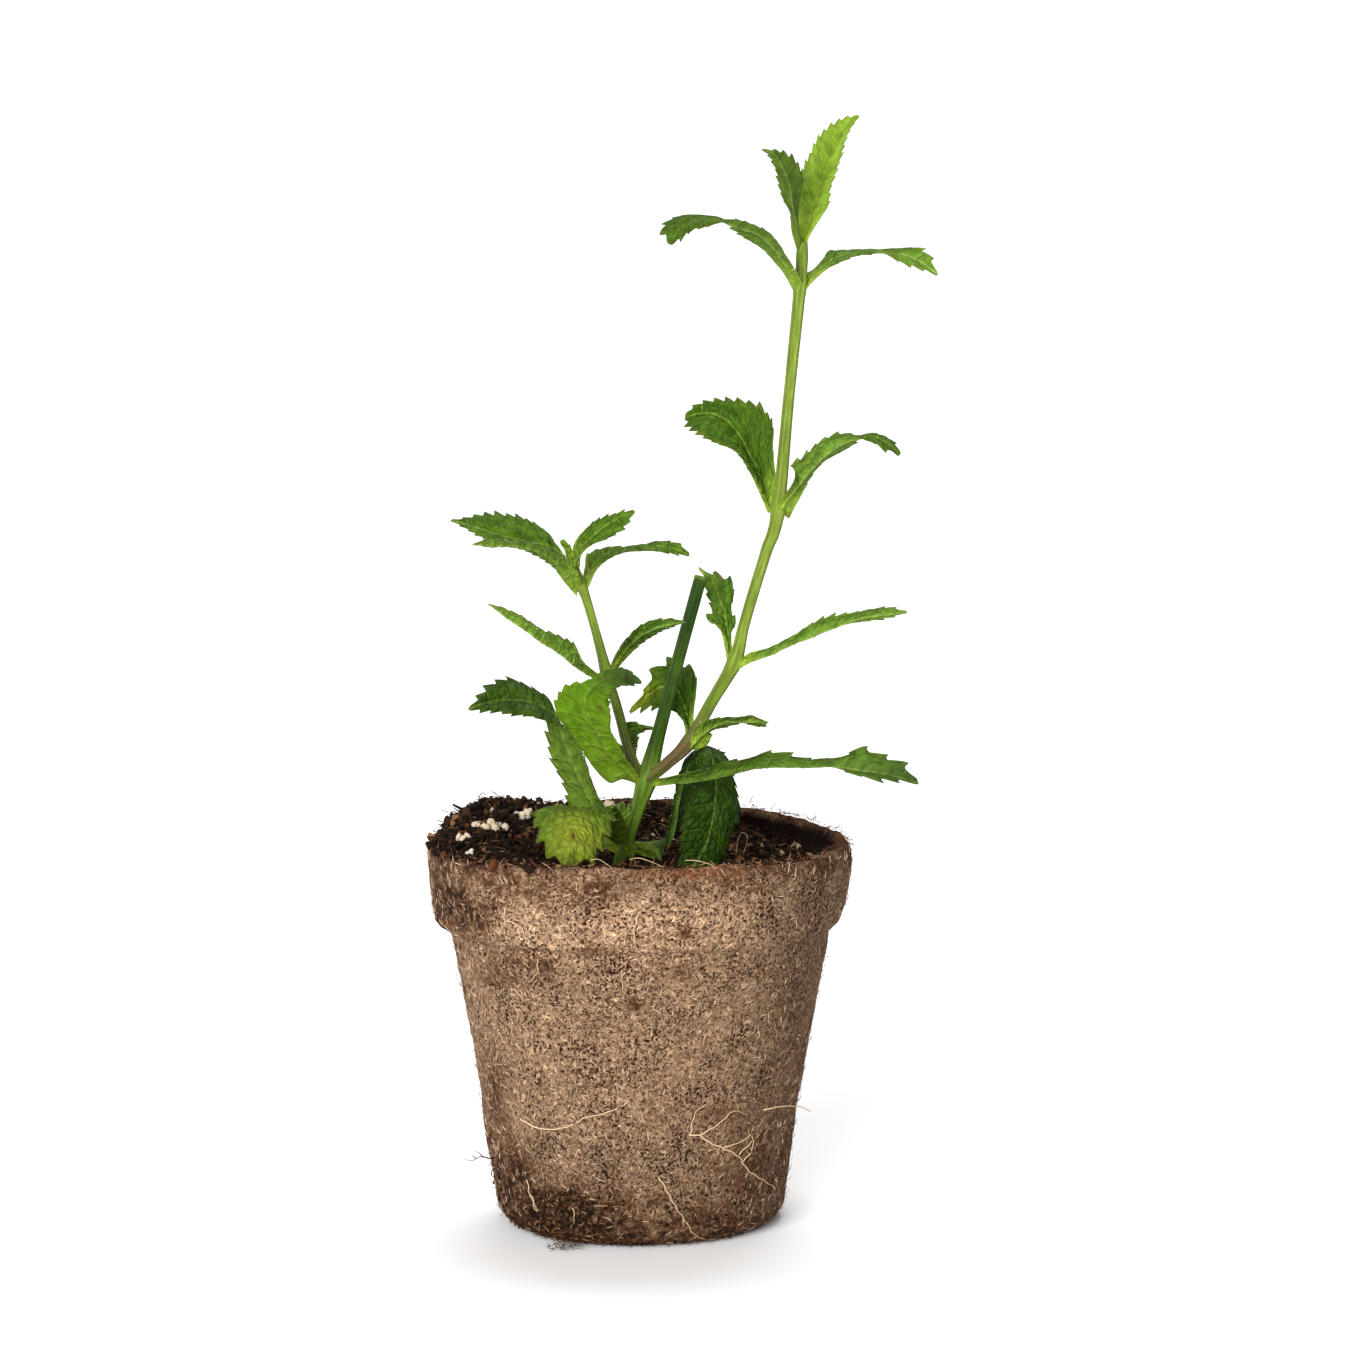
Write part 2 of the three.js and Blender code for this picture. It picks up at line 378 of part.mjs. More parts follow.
function gridGeometry(points, triangles) {
  const geometry = new THREE.BufferGeometry();
  geometry.setAttribute('position', new THREE.Float32BufferAttribute(points.flat(), 3));
  geometry.setIndex(triangles.flat());
  geometry.computeVertexNormals();
  return geometry;
}

function namedMesh(name, geometry, [colour, roughness]) {
  const material = new THREE.MeshStandardMaterial({ color: colour, roughness, metalness: 0 });
  const mesh = new THREE.Mesh(geometry, material);
  mesh.name = name;
  return mesh;
}

// A value that runs smoothly through a list of numbers, for t from 0 to 1 along the list
function along(values, t) {
  if (values.length === 1) return values[0];
  const place = clamp01(t) * (values.length - 1);
  const i = Math.min(Math.floor(place), values.length - 2);
  const k = place - i;
  const a = values[Math.max(i - 1, 0)];
  const d = values[Math.min(i + 2, values.length - 1)];
  const [b, c] = [values[i], values[i + 1]];
  return b + 0.5 * k * (c - a + k * (2 * a - 5 * b + 4 * c - d + k * (3 * (b - c) + d - a)));
}

// A smooth curve through the points
function curveThrough(points) {
  const corners = points.map((p) => new THREE.Vector3(...p));
  const curve = new THREE.CatmullRomCurve3(corners, false, 'catmullrom', 0.5);
  curve.arcLengthDivisions = 400;
  return curve;
}

// Soft pressed walls: the rim dips at the left and right, and the wall runs a little out of round
function softenWall(x, y, z) {
  const angle = Math.atan2(y, x);
  const high = smooth(SAG_START, POT_TOP, z);
  const wobble = WALL_WOBBLE * high * (Math.sin(3 * angle + 0.8) + 0.6 * Math.sin(5 * angle));
  const radius = Math.hypot(x, y);
  const grow = radius > 1 ? (radius + wobble) / radius : 1;
  return [x * grow, y * grow, z - RIM_SAG * high * Math.cos(angle) ** 2];
}

function softened(geometry) {
  const place = geometry.attributes.position;
  for (let i = 0; i < place.count; i += 1) {
    place.setXYZ(i, ...softenWall(place.getX(i), place.getY(i), place.getZ(i)));
  }
  return geometry;
}

function pot() {
  const section = POT_SECTION.map(([r, z]) => new THREE.Vector2(r, z));
  const lathe = new THREE.LatheGeometry(section, ROUND_SIDES);
  lathe.rotateX(Math.PI / 2);
  let body = solidOf(softened(lathe));
  for (let i = 0; i < SLOT_COUNT; i += 1) {
    const slot = new THREE.BoxGeometry(...SLOT_SIZE);
    slot.translate(SLOT_RADIUS, 0, 0);
    slot.rotateZ(((i + 0.5) / SLOT_COUNT) * 2 * Math.PI);
    body = body.subtract(solidOf(slot));
  }
  return namedMesh('pot', geometryOf(body), FINISH.fibre);
}

function soilHeight(x, y) {
  const heap = SOIL.heap * Math.exp(-(((x - SOIL.heapAt[0]) / SOIL.heapReach[0]) ** 2)
    - ((y - SOIL.heapAt[1]) / SOIL.heapReach[1]) ** 2);
  const slope = SOIL.backRise * smooth(0, 40, y) - SOIL.rightDrop * smooth(0, 35, x);
  return SOIL.level + heap + slope;
}

function innerRadius(z) {
  for (let i = 1; i < INNER_WALL.length; i += 1) {
    const [r0, z0] = INNER_WALL[i - 1];
    const [r1, z1] = INNER_WALL[i];
    if (z <= z1) return r0 + ((z - z0) / (z1 - z0)) * (r1 - r0);
  }
  return INNER_WALL[INNER_WALL.length - 1][0];
}

function soilSolid() {
  const random = randomFrom(7);
  const points = [];
  const triangles = [];
  const ring = (radiusAt, heightAt) => {
    for (let i = 0; i < ROUND_SIDES; i += 1) {
      const angle = (i / ROUND_SIDES) * 2 * Math.PI;
      const z = heightAt(angle);
      const r = radiusAt(angle, z);
      points.push(softenWall(r * Math.cos(angle), r * Math.sin(angle), z));
    }
  };
  const edgeHeight = (angle) => {
    const x = 40 * Math.cos(angle);
    const y = 40 * Math.sin(angle);
    return Math.min(soilHeight(x, y), POT_TOP + SOIL_OVER_RIM);
  };
  points.push([0, 0, SOIL_FLOOR]);
  ring(() => SOIL_FOOT_RADIUS, () => SOIL_FLOOR);
  const wallRadius = (angle, z) => innerRadius(z) - SOIL_WALL_GAP;
  for (const height of SOIL_SIDE_HEIGHTS) ring(wallRadius, () => height);
  ring(wallRadius, edgeHeight);
  const edgeStart = points.length - ROUND_SIDES;
  for (let k = SOIL_RINGS - 1; k > 0; k -= 1) {
    for (let i = 0; i < ROUND_SIDES; i += 1) {
      const [ex, ey] = points[edgeStart + i];
      const share = (k - 0.35 + 0.5 * random()) / SOIL_RINGS;
      const [x, y] = [ex * share, ey * share];
      let z = soilHeight(x, y) + CRUMB * (random() - 0.5) * 2;
      for (const [px, py, radius, height] of PERLITE) {
        z += height * smooth(1, 0.2, Math.hypot(x - px, y - py) / radius);
      }
      const cap = points[edgeStart + i][2] + (SOIL_RINGS - k) * SOIL_EDGE_RISE;
      points.push([x, y, Math.min(z, cap)]);
    }
  }
  points.push([0, 0, soilHeight(0, 0)]);
  const rings = (points.length - 2) / ROUND_SIDES;
  const at = (r, i) => 1 + r * ROUND_SIDES + (i % ROUND_SIDES);
  for (let i = 0; i < ROUND_SIDES; i += 1) {
    triangles.push([0, at(0, i + 1), at(0, i)]);
    for (let r = 0; r < rings - 1; r += 1) {
      triangles.push([at(r, i), at(r, i + 1), at(r + 1, i + 1)]);
      triangles.push([at(r, i), at(r + 1, i + 1), at(r + 1, i)]);
    }
    triangles.push([at(rings - 1, i), at(rings - 1, i + 1), points.length - 1]);
  }
  return solidOf(gridGeometry(points, triangles));
}

// A square section with its corners cut, carried along the middle line
function sweptStem({ path, half, turn }, extra = 0) {
  const curve = curveThrough(path);
  const steps = Math.max(6, Math.round(curve.getLength() / STEM_STEP));
  const flat = STEM_CORNER;
  const section = [[1, -flat], [1, flat], [flat, 1], [-flat, 1], [-1, flat], [-1, -flat],
    [-flat, -1], [flat, -1]].map(([a, b]) => new THREE.Vector2(a, b)
    .rotateAround(new THREE.Vector2(), THREE.MathUtils.degToRad(turn)));
  const points = [];
  const triangles = [];
  for (let i = 0; i <= steps; i += 1) {
    const t = i / steps;
    const centre = curve.getPointAt(t);
    const tangent = curve.getTangentAt(t);
    const side = new THREE.Vector3(1, 0, 0).addScaledVector(tangent, -tangent.x).normalize();
    const back = new THREE.Vector3().crossVectors(tangent, side);
    const size = along(half, curve.getUtoTmapping(t)) + extra;
    for (const { x: a, y: b } of section) {
      const p = centre.clone().addScaledVector(side, a * size).addScaledVector(back, b * size);
      points.push([p.x, p.y, p.z]);
    }
  }
  const n = section.length;
  for (let i = 0; i < steps; i += 1) {
    for (let j = 0; j < n; j += 1) {
      const [a, b] = [i * n + j, i * n + ((j + 1) % n)];
      triangles.push([a, b, b + n], [a, b + n, a + n]);
    }
  }
  for (let j = 1; j < n - 1; j += 1) {
    triangles.push([0, j + 1, j]);
    triangles.push([steps * n, steps * n + j, steps * n + j + 1]);
  }
  return solidOf(gridGeometry(points, triangles));
}

// From -0.5 between two teeth to 0.5 at a tooth's peak
function toothAt(u, teeth) {
  const f = (u * teeth) % 1;
  const saw = f < TOOTH_PEAK ? f / TOOTH_PEAK : (1 - f) / (1 - TOOTH_PEAK);
  return (saw - 0.5) * smooth(...TEETH_GROW, u) * (1 - smooth(...TEETH_FADE, u));
}

// The two directions from the midrib to the margins, right and left. They are opened where the
// blade is folded hard, and made level where it is narrow, so that its thick halves don't meet.
function halfDirections(steps) {
  const [right, left] = steps.map((step) => step.clone().normalize());
  const spread = steps[1].clone().sub(steps[0]).normalize();
  const sum = right.clone().add(left);
  const excess = Math.max(0, 1 - WIDEST_FOLD / Math.max(sum.length(), WIDEST_FOLD));
  const narrow = 1 - smooth(...NARROW, Math.min(steps[0].length(), steps[1].length()));
  return [[right, -1], [left, 1]].map(([way, sign]) => way.addScaledVector(sum, -excess / 2)
    .normalize().multiplyScalar(1 - narrow).addScaledVector(spread, sign * narrow).normalize());
}

// One point of the blade: u runs from foot to tip, v across from the right margin to the left
function bladePoint(leaf, curves, u, v) {
  const point = curves.rib.getPointAt(u);
  const tangent = curves.rib.getTangentAt(u);
  const steps = [curves.right, curves.left].map((margin) => margin.getPointAt(u).sub(point));
  const ways = halfDirections(steps);
  const spread = ways[1].clone().sub(ways[0]).normalize();
  const half = v < 0 ? 0 : 1;
  const width = Math.max(steps[half].length(), LEAST_HALF_WIDTH);
  const leftwards = v === 0 ? spread : ways[half].clone().multiplyScalar(Math.sign(v));
  const face = new THREE.Vector3().crossVectors(tangent, leftwards).normalize();
  const reach = Math.abs(v);
  point.addScaledVector(ways[half], width * reach);
  point.addScaledVector(face, width * DOME * reach * (1 - reach));
  if (reach === 1) {
    const toothHeight = (TOOTH_HEIGHT * curves.rib.getLength()) / leaf.teeth;
    const shrink = 1 - Math.exp(-width / SMALL_HALF_WIDTH);
    point.addScaledVector(ways[half], toothAt(u, leaf.teeth) * toothHeight * shrink);
  }
  return { point, face };
}

function leafSolid(leaf) {
  const curves = {
    rib: curveThrough(leaf.rib), left: curveThrough(leaf.left), right: curveThrough(leaf.right),
  };
  const rows = [...FIRST_ROWS];
  for (let k = 0; k < leaf.teeth; k += 1) {
    for (const part of [0, TOOTH_PEAK]) {
      const u = (k + part) / leaf.teeth;
      if (u > TEETH_START && u < TEETH_END) rows.push(u);
    }
  }
  rows.push(LAST_ROW);
  const n = ACROSS.length;
  const points = [];
  for (const side of [1, -1]) {
    for (const u of rows) {
      for (const v of ACROSS) {
        const { point, face } = bladePoint(leaf, curves, u, v);
        point.addScaledVector(face, (side * LEAF_THICKNESS) / 2);
        points.push([point.x, point.y, point.z]);
      }
    }
  }
  const under = rows.length * n;
  const triangles = [];
  for (let i = 0; i < rows.length - 1; i += 1) {
    for (let j = 0; j < n - 1; j += 1) {
      const a = i * n + j;
      triangles.push([a, a + n, a + n + 1], [a, a + n + 1, a + 1]);
      triangles.push([under + a, under + a + n + 1, under + a + n]);
      triangles.push([under + a, under + a + 1, under + a + n + 1]);
    }
    for (const j of [0, n - 1]) {
      const a = i * n + j;
      const quad = [[a, under + a, under + a + n], [a, under + a + n, a + n]];
      triangles.push(...(j === 0 ? quad : quad.map(([p, q, r]) => [p, r, q])));
    }
  }
  for (const i of [0, rows.length - 1]) {
    for (let j = 0; j < n - 1; j += 1) {
      const a = i * n + j;
      const quad = [[a, a + 1, under + a + 1], [a, under + a + 1, under + a]];
      triangles.push(...(i === 0 ? quad : quad.map(([p, q, r]) => [p, r, q])));
    }
  }
  return solidOf(gridGeometry(points, triangles));
}

function plant() {
  const group = new THREE.Group();
  const fat = {};
  for (const [name, stem] of Object.entries(STEMS)) fat[name] = sweptStem(stem, GAP);
  const main = sweptStem(STEMS.main_stem);
  const leftStem = sweptStem(STEMS.left_shoot).add(leafSolid(TIP_LEAFLET));
  const left = largestBody(leftStem.subtract(fat.main_stem));
  const rightStem = sweptStem(STEMS.right_shoot);
  const right = largestBody(rightStem.subtract(fat.main_stem).subtract(fat.left_shoot));
  group.add(namedMesh('main_stem', geometryOf(main), FINISH.stem));
  group.add(namedMesh('left_shoot', geometryOf(left), FINISH.shoot));
  group.add(namedMesh('right_shoot', geometryOf(right), FINISH.shoot));
  for (const leaf of LEAVES) {
    let blade = leafSolid(leaf);
    for (const stem of leaf.from) blade = blade.subtract(fat[stem]);
    const colour = leaf.pale ? FINISH.paleLeaf : FINISH.leaf;
    group.add(namedMesh(leaf.name, geometryOf(largestBody(blade)), colour));
  }
  return group;
}

function soil() {
  const hole = sweptStem(STEMS.main_stem, STEM_HOLE_GAP);
  return namedMesh('soil', geometryOf(largestBody(soilSolid().subtract(hole))), FINISH.peat);
}

const vervain = new THREE.Group();
vervain.add(pot(), soil(), plant());

export default vervain;
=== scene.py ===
# %% [markdown]
# # A young vervain in a pressed-fibre pot
#
# The CAD model already holds the true size and place of pot, compost, stems and leaves. This
# script dresses it. The frame is loaded first and never moved. Every new piece is worked out
# in millimetres, in the CAD model's own frame, as a surface over a grid of two parameters, and
# stands for the CAD piece of the same form.

import bpy
import numpy as np
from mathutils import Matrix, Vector


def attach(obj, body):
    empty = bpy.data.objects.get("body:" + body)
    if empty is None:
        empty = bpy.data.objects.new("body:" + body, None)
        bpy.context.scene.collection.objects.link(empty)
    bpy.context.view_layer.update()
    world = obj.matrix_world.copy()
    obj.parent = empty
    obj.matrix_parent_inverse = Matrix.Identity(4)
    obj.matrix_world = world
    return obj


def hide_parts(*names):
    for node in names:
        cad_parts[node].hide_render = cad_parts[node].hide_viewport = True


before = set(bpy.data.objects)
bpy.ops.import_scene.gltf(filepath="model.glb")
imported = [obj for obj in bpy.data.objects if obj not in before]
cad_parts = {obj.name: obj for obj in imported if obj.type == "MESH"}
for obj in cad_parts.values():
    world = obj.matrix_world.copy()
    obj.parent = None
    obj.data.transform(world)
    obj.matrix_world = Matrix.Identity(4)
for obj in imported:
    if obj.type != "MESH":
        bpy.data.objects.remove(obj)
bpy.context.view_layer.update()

# %% [markdown]
# ## Camera
# The reference picture was taken from about 1.2 m away, a little above the rim and looking down by
# eight degrees. A long lens keeps the pot's sides nearly parallel, so the camera is placed at that
# distance and the lens is chosen so that the pot's rim has the width that it has there.

# %% Camera
CAMERA_PLACE = (0.0091, -1.19, 0.291)  # metres
CAMERA_PITCH = 8.36  # degrees below level
CAMERA_LENS, CAMERA_SENSOR = 148.8, 36  # millimetres

camera_data = bpy.data.cameras.new("camera")
camera_data.lens = CAMERA_LENS
camera_data.sensor_width = CAMERA_SENSOR
camera = bpy.data.objects.new("camera", camera_data)
camera.location = CAMERA_PLACE
camera.rotation_euler = (np.radians(90 - CAMERA_PITCH), 0, 0)
bpy.context.scene.collection.objects.link(camera)
bpy.context.scene.camera = camera

# %% [markdown]
# ## Tools for surfaces
# Each piece below is made of the same few things: smooth random values that are the same on each
# run, a smooth curve through given points, and a grid of points turned into a closed mesh.
# Working on whole arrays keeps this quick even for tens of thousands of points.

# %% Numbers
MM = 0.001
# Large odd numbers that scatter the bits of a corner's three whole coordinates
AXIS_FACTORS, SEED_FACTOR = (73856093, 19349663, 83492791), 97531
SHIFTS_AND_FACTORS = ((15, 2246822519), (13, 3266489917))
LAST_SHIFT, BITS, HALF_RANGE = 16, 0xFFFFFFFF, 2**31
TINY = 1e-12  # the least length that a direction is divided by


def smooth(start, end, t):
    """0 before start, 1 after end, and an S-shaped step between: 3k^2 - 2k^3 of the share k. With
    end below start it falls instead."""
    k = np.clip((np.asarray(t, float) - start) / (end - start), 0, 1)
    return k * k * (3 - 2 * k)


def bell(t, middle=0.0, reach=1.0):
    """1 at the middle, fading on both sides: exp(-((t - middle) / reach)^2)."""
    return np.exp(-(((t - middle) / reach) ** 2))


def lattice_noise(points, size, seed):
    """Smooth random values from -1 to 1. Space is cut in cubes of this size, each corner gets a
    number mixed from its three whole coordinates and the seed, and inside a cube the eight corner
    numbers are blended by the S-shaped share along each side."""
    place = np.asarray(points, float) / size
    cell = np.floor(place).astype(np.int64)
    share = place - cell
    share = share * share * (3 - 2 * share)
    total = np.zeros(place.shape[:-1])
    for corner in np.ndindex(2, 2, 2):
        mixed = np.bitwise_xor.reduce((cell + corner) * AXIS_FACTORS, axis=-1)
        mixed = (mixed + seed * SEED_FACTOR) & BITS
        for shift, factor in SHIFTS_AND_FACTORS:
            mixed = ((mixed ^ (mixed >> shift)) * factor) & BITS
        value = (mixed ^ (mixed >> LAST_SHIFT)) / HALF_RANGE - 1
        total += value * np.prod(np.where(corner, share, 1 - share), axis=-1)
    return total


def cloud(points, size, seed, octaves=3):
    """Lattice noise of this size plus finer layers, each half the size and half the height."""
    layers = [lattice_noise(points, size / 2**k, seed + k) / 2**k for k in range(octaves)]
    return sum(layers)


# %% [markdown]
# A Catmull-Rom curve passes through every given point. Its place and direction are wanted at
# given shares of its length, so it is sampled finely, the lengths are summed, and both are read
# back by share of length.

# %% Curves
FINE = 60  # samples on each stretch between two points


def curve_through(points):
    """The place, the unit direction and the share of the points passed, each as a function of a
    share of the curve's length, and that length. On each stretch the curve is a cubic whose slope
    at a point is half the step from the point before to the one after."""
    p = np.asarray(points, float)
    p = np.vstack([2 * p[0] - p[1], p, 2 * p[-1] - p[-2]])
    a, b, c, d = (p[i : len(p) - 3 + i, None] for i in range(4))
    k = np.linspace(0, 1, FINE, endpoint=False)[None, :, None]
    s0, s1 = (c - a) / 2, (d - b) / 2
    line = b + s0 * k + (3 * (c - b) - 2 * s0 - s1) * k**2 + (2 * (b - c) + s0 + s1) * k**3
    line = np.vstack([line.reshape(-1, p.shape[1]), p[-2]])
    reach = np.concatenate([[0], np.cumsum(np.linalg.norm(np.diff(line, axis=0), axis=1))])
    slope = np.gradient(line, reach, axis=0)
    steps = np.arange(len(line)) / FINE

    def place(share):
        at = np.asarray(share) * reach[-1]
        return np.stack([np.interp(at, reach, line[:, i]) for i in range(line.shape[1])], -1)

    def direction(share):
        at = np.asarray(share) * reach[-1]
        t = np.stack([np.interp(at, reach, slope[:, i]) for i in range(line.shape[1])], -1)
        return t / np.linalg.norm(t, axis=-1, keepdims=True)

    def knot(share):
        return np.interp(np.asarray(share) * reach[-1], reach, steps) / (len(points) - 1)

    return place, direction, knot, reach[-1]


def along(values, t):
    """A value that runs smoothly through a list of numbers, for t from 0 to 1 along the list."""
    v = np.asarray(values, float)
    t = np.clip(t, 0, 1)
    if len(v) == 1:
        return np.full(np.shape(t), v[0])
    place = t * (len(v) - 1)
    i = np.minimum(place.astype(int), len(v) - 2)
    k = place - i
    a, b = v[np.maximum(i - 1, 0)], v[i]
    c, d = v[i + 1], v[np.minimum(i + 2, len(v) - 1)]
    return b + 0.5 * k * (c - a + k * (2 * a - 5 * b + 4 * c - d + k * (3 * (b - c) + d - a)))


def unit(vectors):
    """The same directions with length 1."""
    return vectors / np.maximum(np.linalg.norm(vectors, axis=-1, keepdims=True), TINY)


# %% [markdown]
# A mesh is points and faces. Values that a material needs, such as how stained a spot is, are kept
# on the points as attributes, and where a pattern follows the surface the mesh gets a UV map, in
# millimetres or in shares of a turn.

# %% Meshes
made = []


def mesh_piece(name, points, faces, material, slot, node=None, values=None, uv=None, period=None):
    """A smooth-shaded object from points in millimetres and faces as rows of point numbers. values
    maps a name to one number per point, and uv maps a name to a pair of numbers per point. Where a
    map runs round and starts again after one period, the last faces' low corners get one more."""
    mesh = bpy.data.meshes.new(name)
    mesh.from_pydata((np.asarray(points) * MM).tolist(), [], [f.tolist() for f in faces])
    mesh.polygons.foreach_set("use_smooth", np.ones(len(mesh.polygons), bool))
    corner_point, face_start = np.zeros(len(mesh.loops), int), np.zeros(len(mesh.polygons), int)
    mesh.loops.foreach_get("vertex_index", corner_point)
    mesh.polygons.foreach_get("loop_start", face_start)
    for key, pairs in (uv or {}).items():
        corners = np.asarray(pairs, float)[corner_point]
        if period:
            sizes = np.diff(np.append(face_start, len(corner_point)))
            highest = np.repeat(np.maximum.reduceat(corners[:, 0], face_start), sizes)
            corners[:, 0] += period * (highest - corners[:, 0] > period / 2)
        mesh.uv_layers.new(name=key).uv.foreach_set("vector", corners.astype(np.float32).ravel())
    for key, numbers in (values or {}).items():
        attribute = mesh.attributes.new(key, "FLOAT", "POINT")
        attribute.data.foreach_set("value", np.asarray(numbers, np.float32).ravel())
    mesh.materials.append(material)
    piece = bpy.data.objects.new(name, mesh)
    bpy.context.scene.collection.objects.link(piece)
    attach(piece, "root")
    if node:
        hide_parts(node)
    triangles = len(corner_point) - 2 * len(face_start)
    made.append((name, triangles))
    print(f"{name}: {len(mesh.vertices)} points, {triangles} triangles")


def closed_faces(rows, columns):
    """Faces of a closed body. Its points are rings stored row by row, then the point that closes
    the first ring and the one that closes the last. Between rings the faces have four sides."""
    ring, count = np.arange(columns), rows * columns
    row, column = np.divmod(np.arange(count - columns), columns)
    low, right = row * columns, (column + 1) % columns
    sides = [low + column, low + right, low + columns + right, low + columns + column]
    after, last = np.roll(ring, -1), count - columns
    start = [np.full(columns, count), after, ring]
    end = [np.full(columns, count + 1), ring + last, after + last]
    return [*np.stack(sides, 1), *np.stack(start, 1), *np.stack(end, 1)]


def joined(parts):
    """Several pairs of points and faces as one pair, the later faces' numbers moved on."""
    points, faces, first = [], [], 0
    for some_points, some_faces in parts:
        points.append(some_points)
        faces += [np.asarray(face) + first for face in some_faces]
        first += len(some_points)
    return np.vstack(points), faces


# %% [markdown]
# ## Threads, crumbs and tubes
# What is loose on the plant comes in thousands: fibres of the pot, hairs of the stems, crumbs of
# peat. Each thread is a thin three-sided body pointed at both ends, twelve triangles in all, and
# each crumb is a twenty-sided lump, so thousands of them stay light. Roots are round tubes.

# %% Threads
THREAD_POINTS = 8  # two ends and two rings of three
STEEP = 0.9  # a direction whose z is beyond this counts as upright


def threads(starts, directions, bends, lengths, radii):
    """Points and faces of many threads. A thread's line is start + (direction t + bend t^2)
    length, with a point at t = 0 and 1 and a ring of three of the given radius at 1/3 and 2/3."""
    lengths = np.broadcast_to(lengths, len(starts))[:, None]
    radii = np.broadcast_to(radii, len(starts))[:, None]
    upright = np.abs(directions[:, 2:]) > STEEP
    side = unit(np.cross(directions, np.where(upright, [[1.0, 0, 0]], [[0, 0, 1.0]])))
    back = unit(np.cross(directions, side))

    def line(t):
        return starts + (directions * t + bends * t * t) * lengths

    turns = 2 * np.pi * np.arange(3) / 3
    rings = [line(t) + (side * np.cos(a) + back * np.sin(a)) * radii for t in (1 / 3, 2 / 3)
             for a in turns]
    points = np.stack([line(0), *rings, line(1)], 1)
    pattern = []
    for k in range(3):
        after = (k + 1) % 3
        pattern += [(0, 1 + after, 1 + k), (1 + k, 1 + after, 4 + after),
                    (1 + k, 4 + after, 4 + k), (4 + k, 4 + after, THREAD_POINTS - 1)]
    faces = THREAD_POINTS * np.arange(len(starts))[:, None, None] + np.array(pattern)
    return points.reshape(-1, 3), faces.reshape(-1, 3)


# %% Crumbs
GOLDEN = (1 + 5**0.5) / 2
BALL = unit(np.array([(-1, GOLDEN, 0), (1, GOLDEN, 0), (-1, -GOLDEN, 0), (1, -GOLDEN, 0),
                      (0, -1, GOLDEN), (0, 1, GOLDEN), (0, -1, -GOLDEN), (0, 1, -GOLDEN),
                      (GOLDEN, 0, -1), (GOLDEN, 0, 1), (-GOLDEN, 0, -1), (-GOLDEN, 0, 1)]))
BALL_FACES = np.array([(0, 11, 5), (0, 5, 1), (0, 1, 7), (0, 7, 10), (0, 10, 11), (1, 5, 9),
                       (5, 11, 4), (11, 10, 2), (10, 7, 6), (7, 1, 8), (3, 9, 4), (3, 4, 2),
                       (3, 2, 6), (3, 6, 8), (3, 8, 9), (4, 9, 5), (2, 4, 11), (6, 2, 10),
                       (8, 6, 7), (9, 8, 1)])


def random_turns(count, random):
    """Random turns as 3 x 3 matrices: four bell-shaped numbers, made a unit quaternion."""
    w, x, y, z = unit(random.normal(size=(count, 4))).T
    rows = [1 - 2 * (y * y + z * z), 2 * (x * y - w * z), 2 * (x * z + w * y),
            2 * (x * y + w * z), 1 - 2 * (x * x + z * z), 2 * (y * z - w * x),
            2 * (x * z - w * y), 2 * (y * z + w * x), 1 - 2 * (x * x + y * y)]
    return np.stack(rows, -1).reshape(count, 3, 3)


def crumbs(centres, sizes, roughness, random):
    """Points and faces of many crumbs: a twenty-sided ball whose corners stand in or out at random
    by the share roughness, stretched by three sizes and turned at random."""
    count = len(centres)
    shape = BALL * (1 + roughness * random.uniform(-1, 1, (count, len(BALL), 1)))
    shape = np.einsum("nij,nkj->nki", random_turns(count, random), shape * sizes[:, None, :])
    faces = len(BALL) * np.arange(count)[:, None, None] + BALL_FACES
    return (shape + centres[:, None, :]).reshape(-1, 3), faces.reshape(-1, 3)


# %% Tubes
ASIDE = (0.31, 0.17, 0.93)  # a direction that no tube follows


def tube(path, radii, sides=6):
    """Points and faces of a closed tube along a list of places: a ring square to the line at each,
    and a fan to the line's own end at both ends."""
    line = np.asarray(path, float)
    direction = unit(np.gradient(line, axis=0))
    side = unit(np.cross(direction, ASIDE))
    back = np.cross(direction, side)
    turn = 2 * np.pi * np.arange(sides) / sides
    ring = side[:, None] * np.cos(turn)[:, None] + back[:, None] * np.sin(turn)[:, None]
    rings = line[:, None] + ring * np.broadcast_to(radii, len(line))[:, None, None]
    points = np.vstack([rings.reshape(-1, 3), line[0], line[-1]])
    return points, closed_faces(len(line), sides)


# %% [markdown]
# ## Tools for materials
# Each material is named for what the real one is. Its colours are written as sRGB hex values, and
# one function turns them into the linear values that the shader works with. One function adds any
# node with its settings and links, and short ones for the commonest nodes build on it.

# %% Material helpers
MIX_A, MIX_B, MIX_COLOUR = 6, 7, 2  # a Mix node's colour inputs and its colour output
FACTOR = 2  # an Attribute node's output for a plain number
SRGB_KNEE, SRGB_SLOPE, SRGB_OFFSET, SRGB_POWER = 0.04045, 12.92, 0.055, 2.4


def linear(hex_colour):
    """A colour such as "7f9b3a" as linear red, green, blue and alpha."""
    values = np.array([int(hex_colour[i : i + 2], 16) for i in (0, 2, 4)]) / 255
    curve = ((values + SRGB_OFFSET) / (1 + SRGB_OFFSET)) ** SRGB_POWER
    return (*np.where(values <= SRGB_KNEE, values / SRGB_SLOPE, curve).tolist(), 1.0)


def add(tree, kind, feeds, out=0, stops=(), **settings):
    """Adds a node and returns one of its outputs. settings are the node's own properties, feeds
    maps an input's name or number to a value or another output, and stops are a ramp's colours."""
    node = tree.nodes.new("ShaderNode" + kind)
    for name, value in settings.items():
        setattr(node, name, value)
    for name, value in feeds.items():
        if isinstance(value, bpy.types.NodeSocket):
            tree.links.new(value, node.inputs[name])
        else:
            node.inputs[name].default_value = value
    for i, (place, colour) in enumerate(stops):
        stop = node.color_ramp.elements[i] if i < 2 else node.color_ramp.elements.new(place)
        stop.position, stop.color = place, linear(colour)
    return node.outputs[out] if node.outputs else node


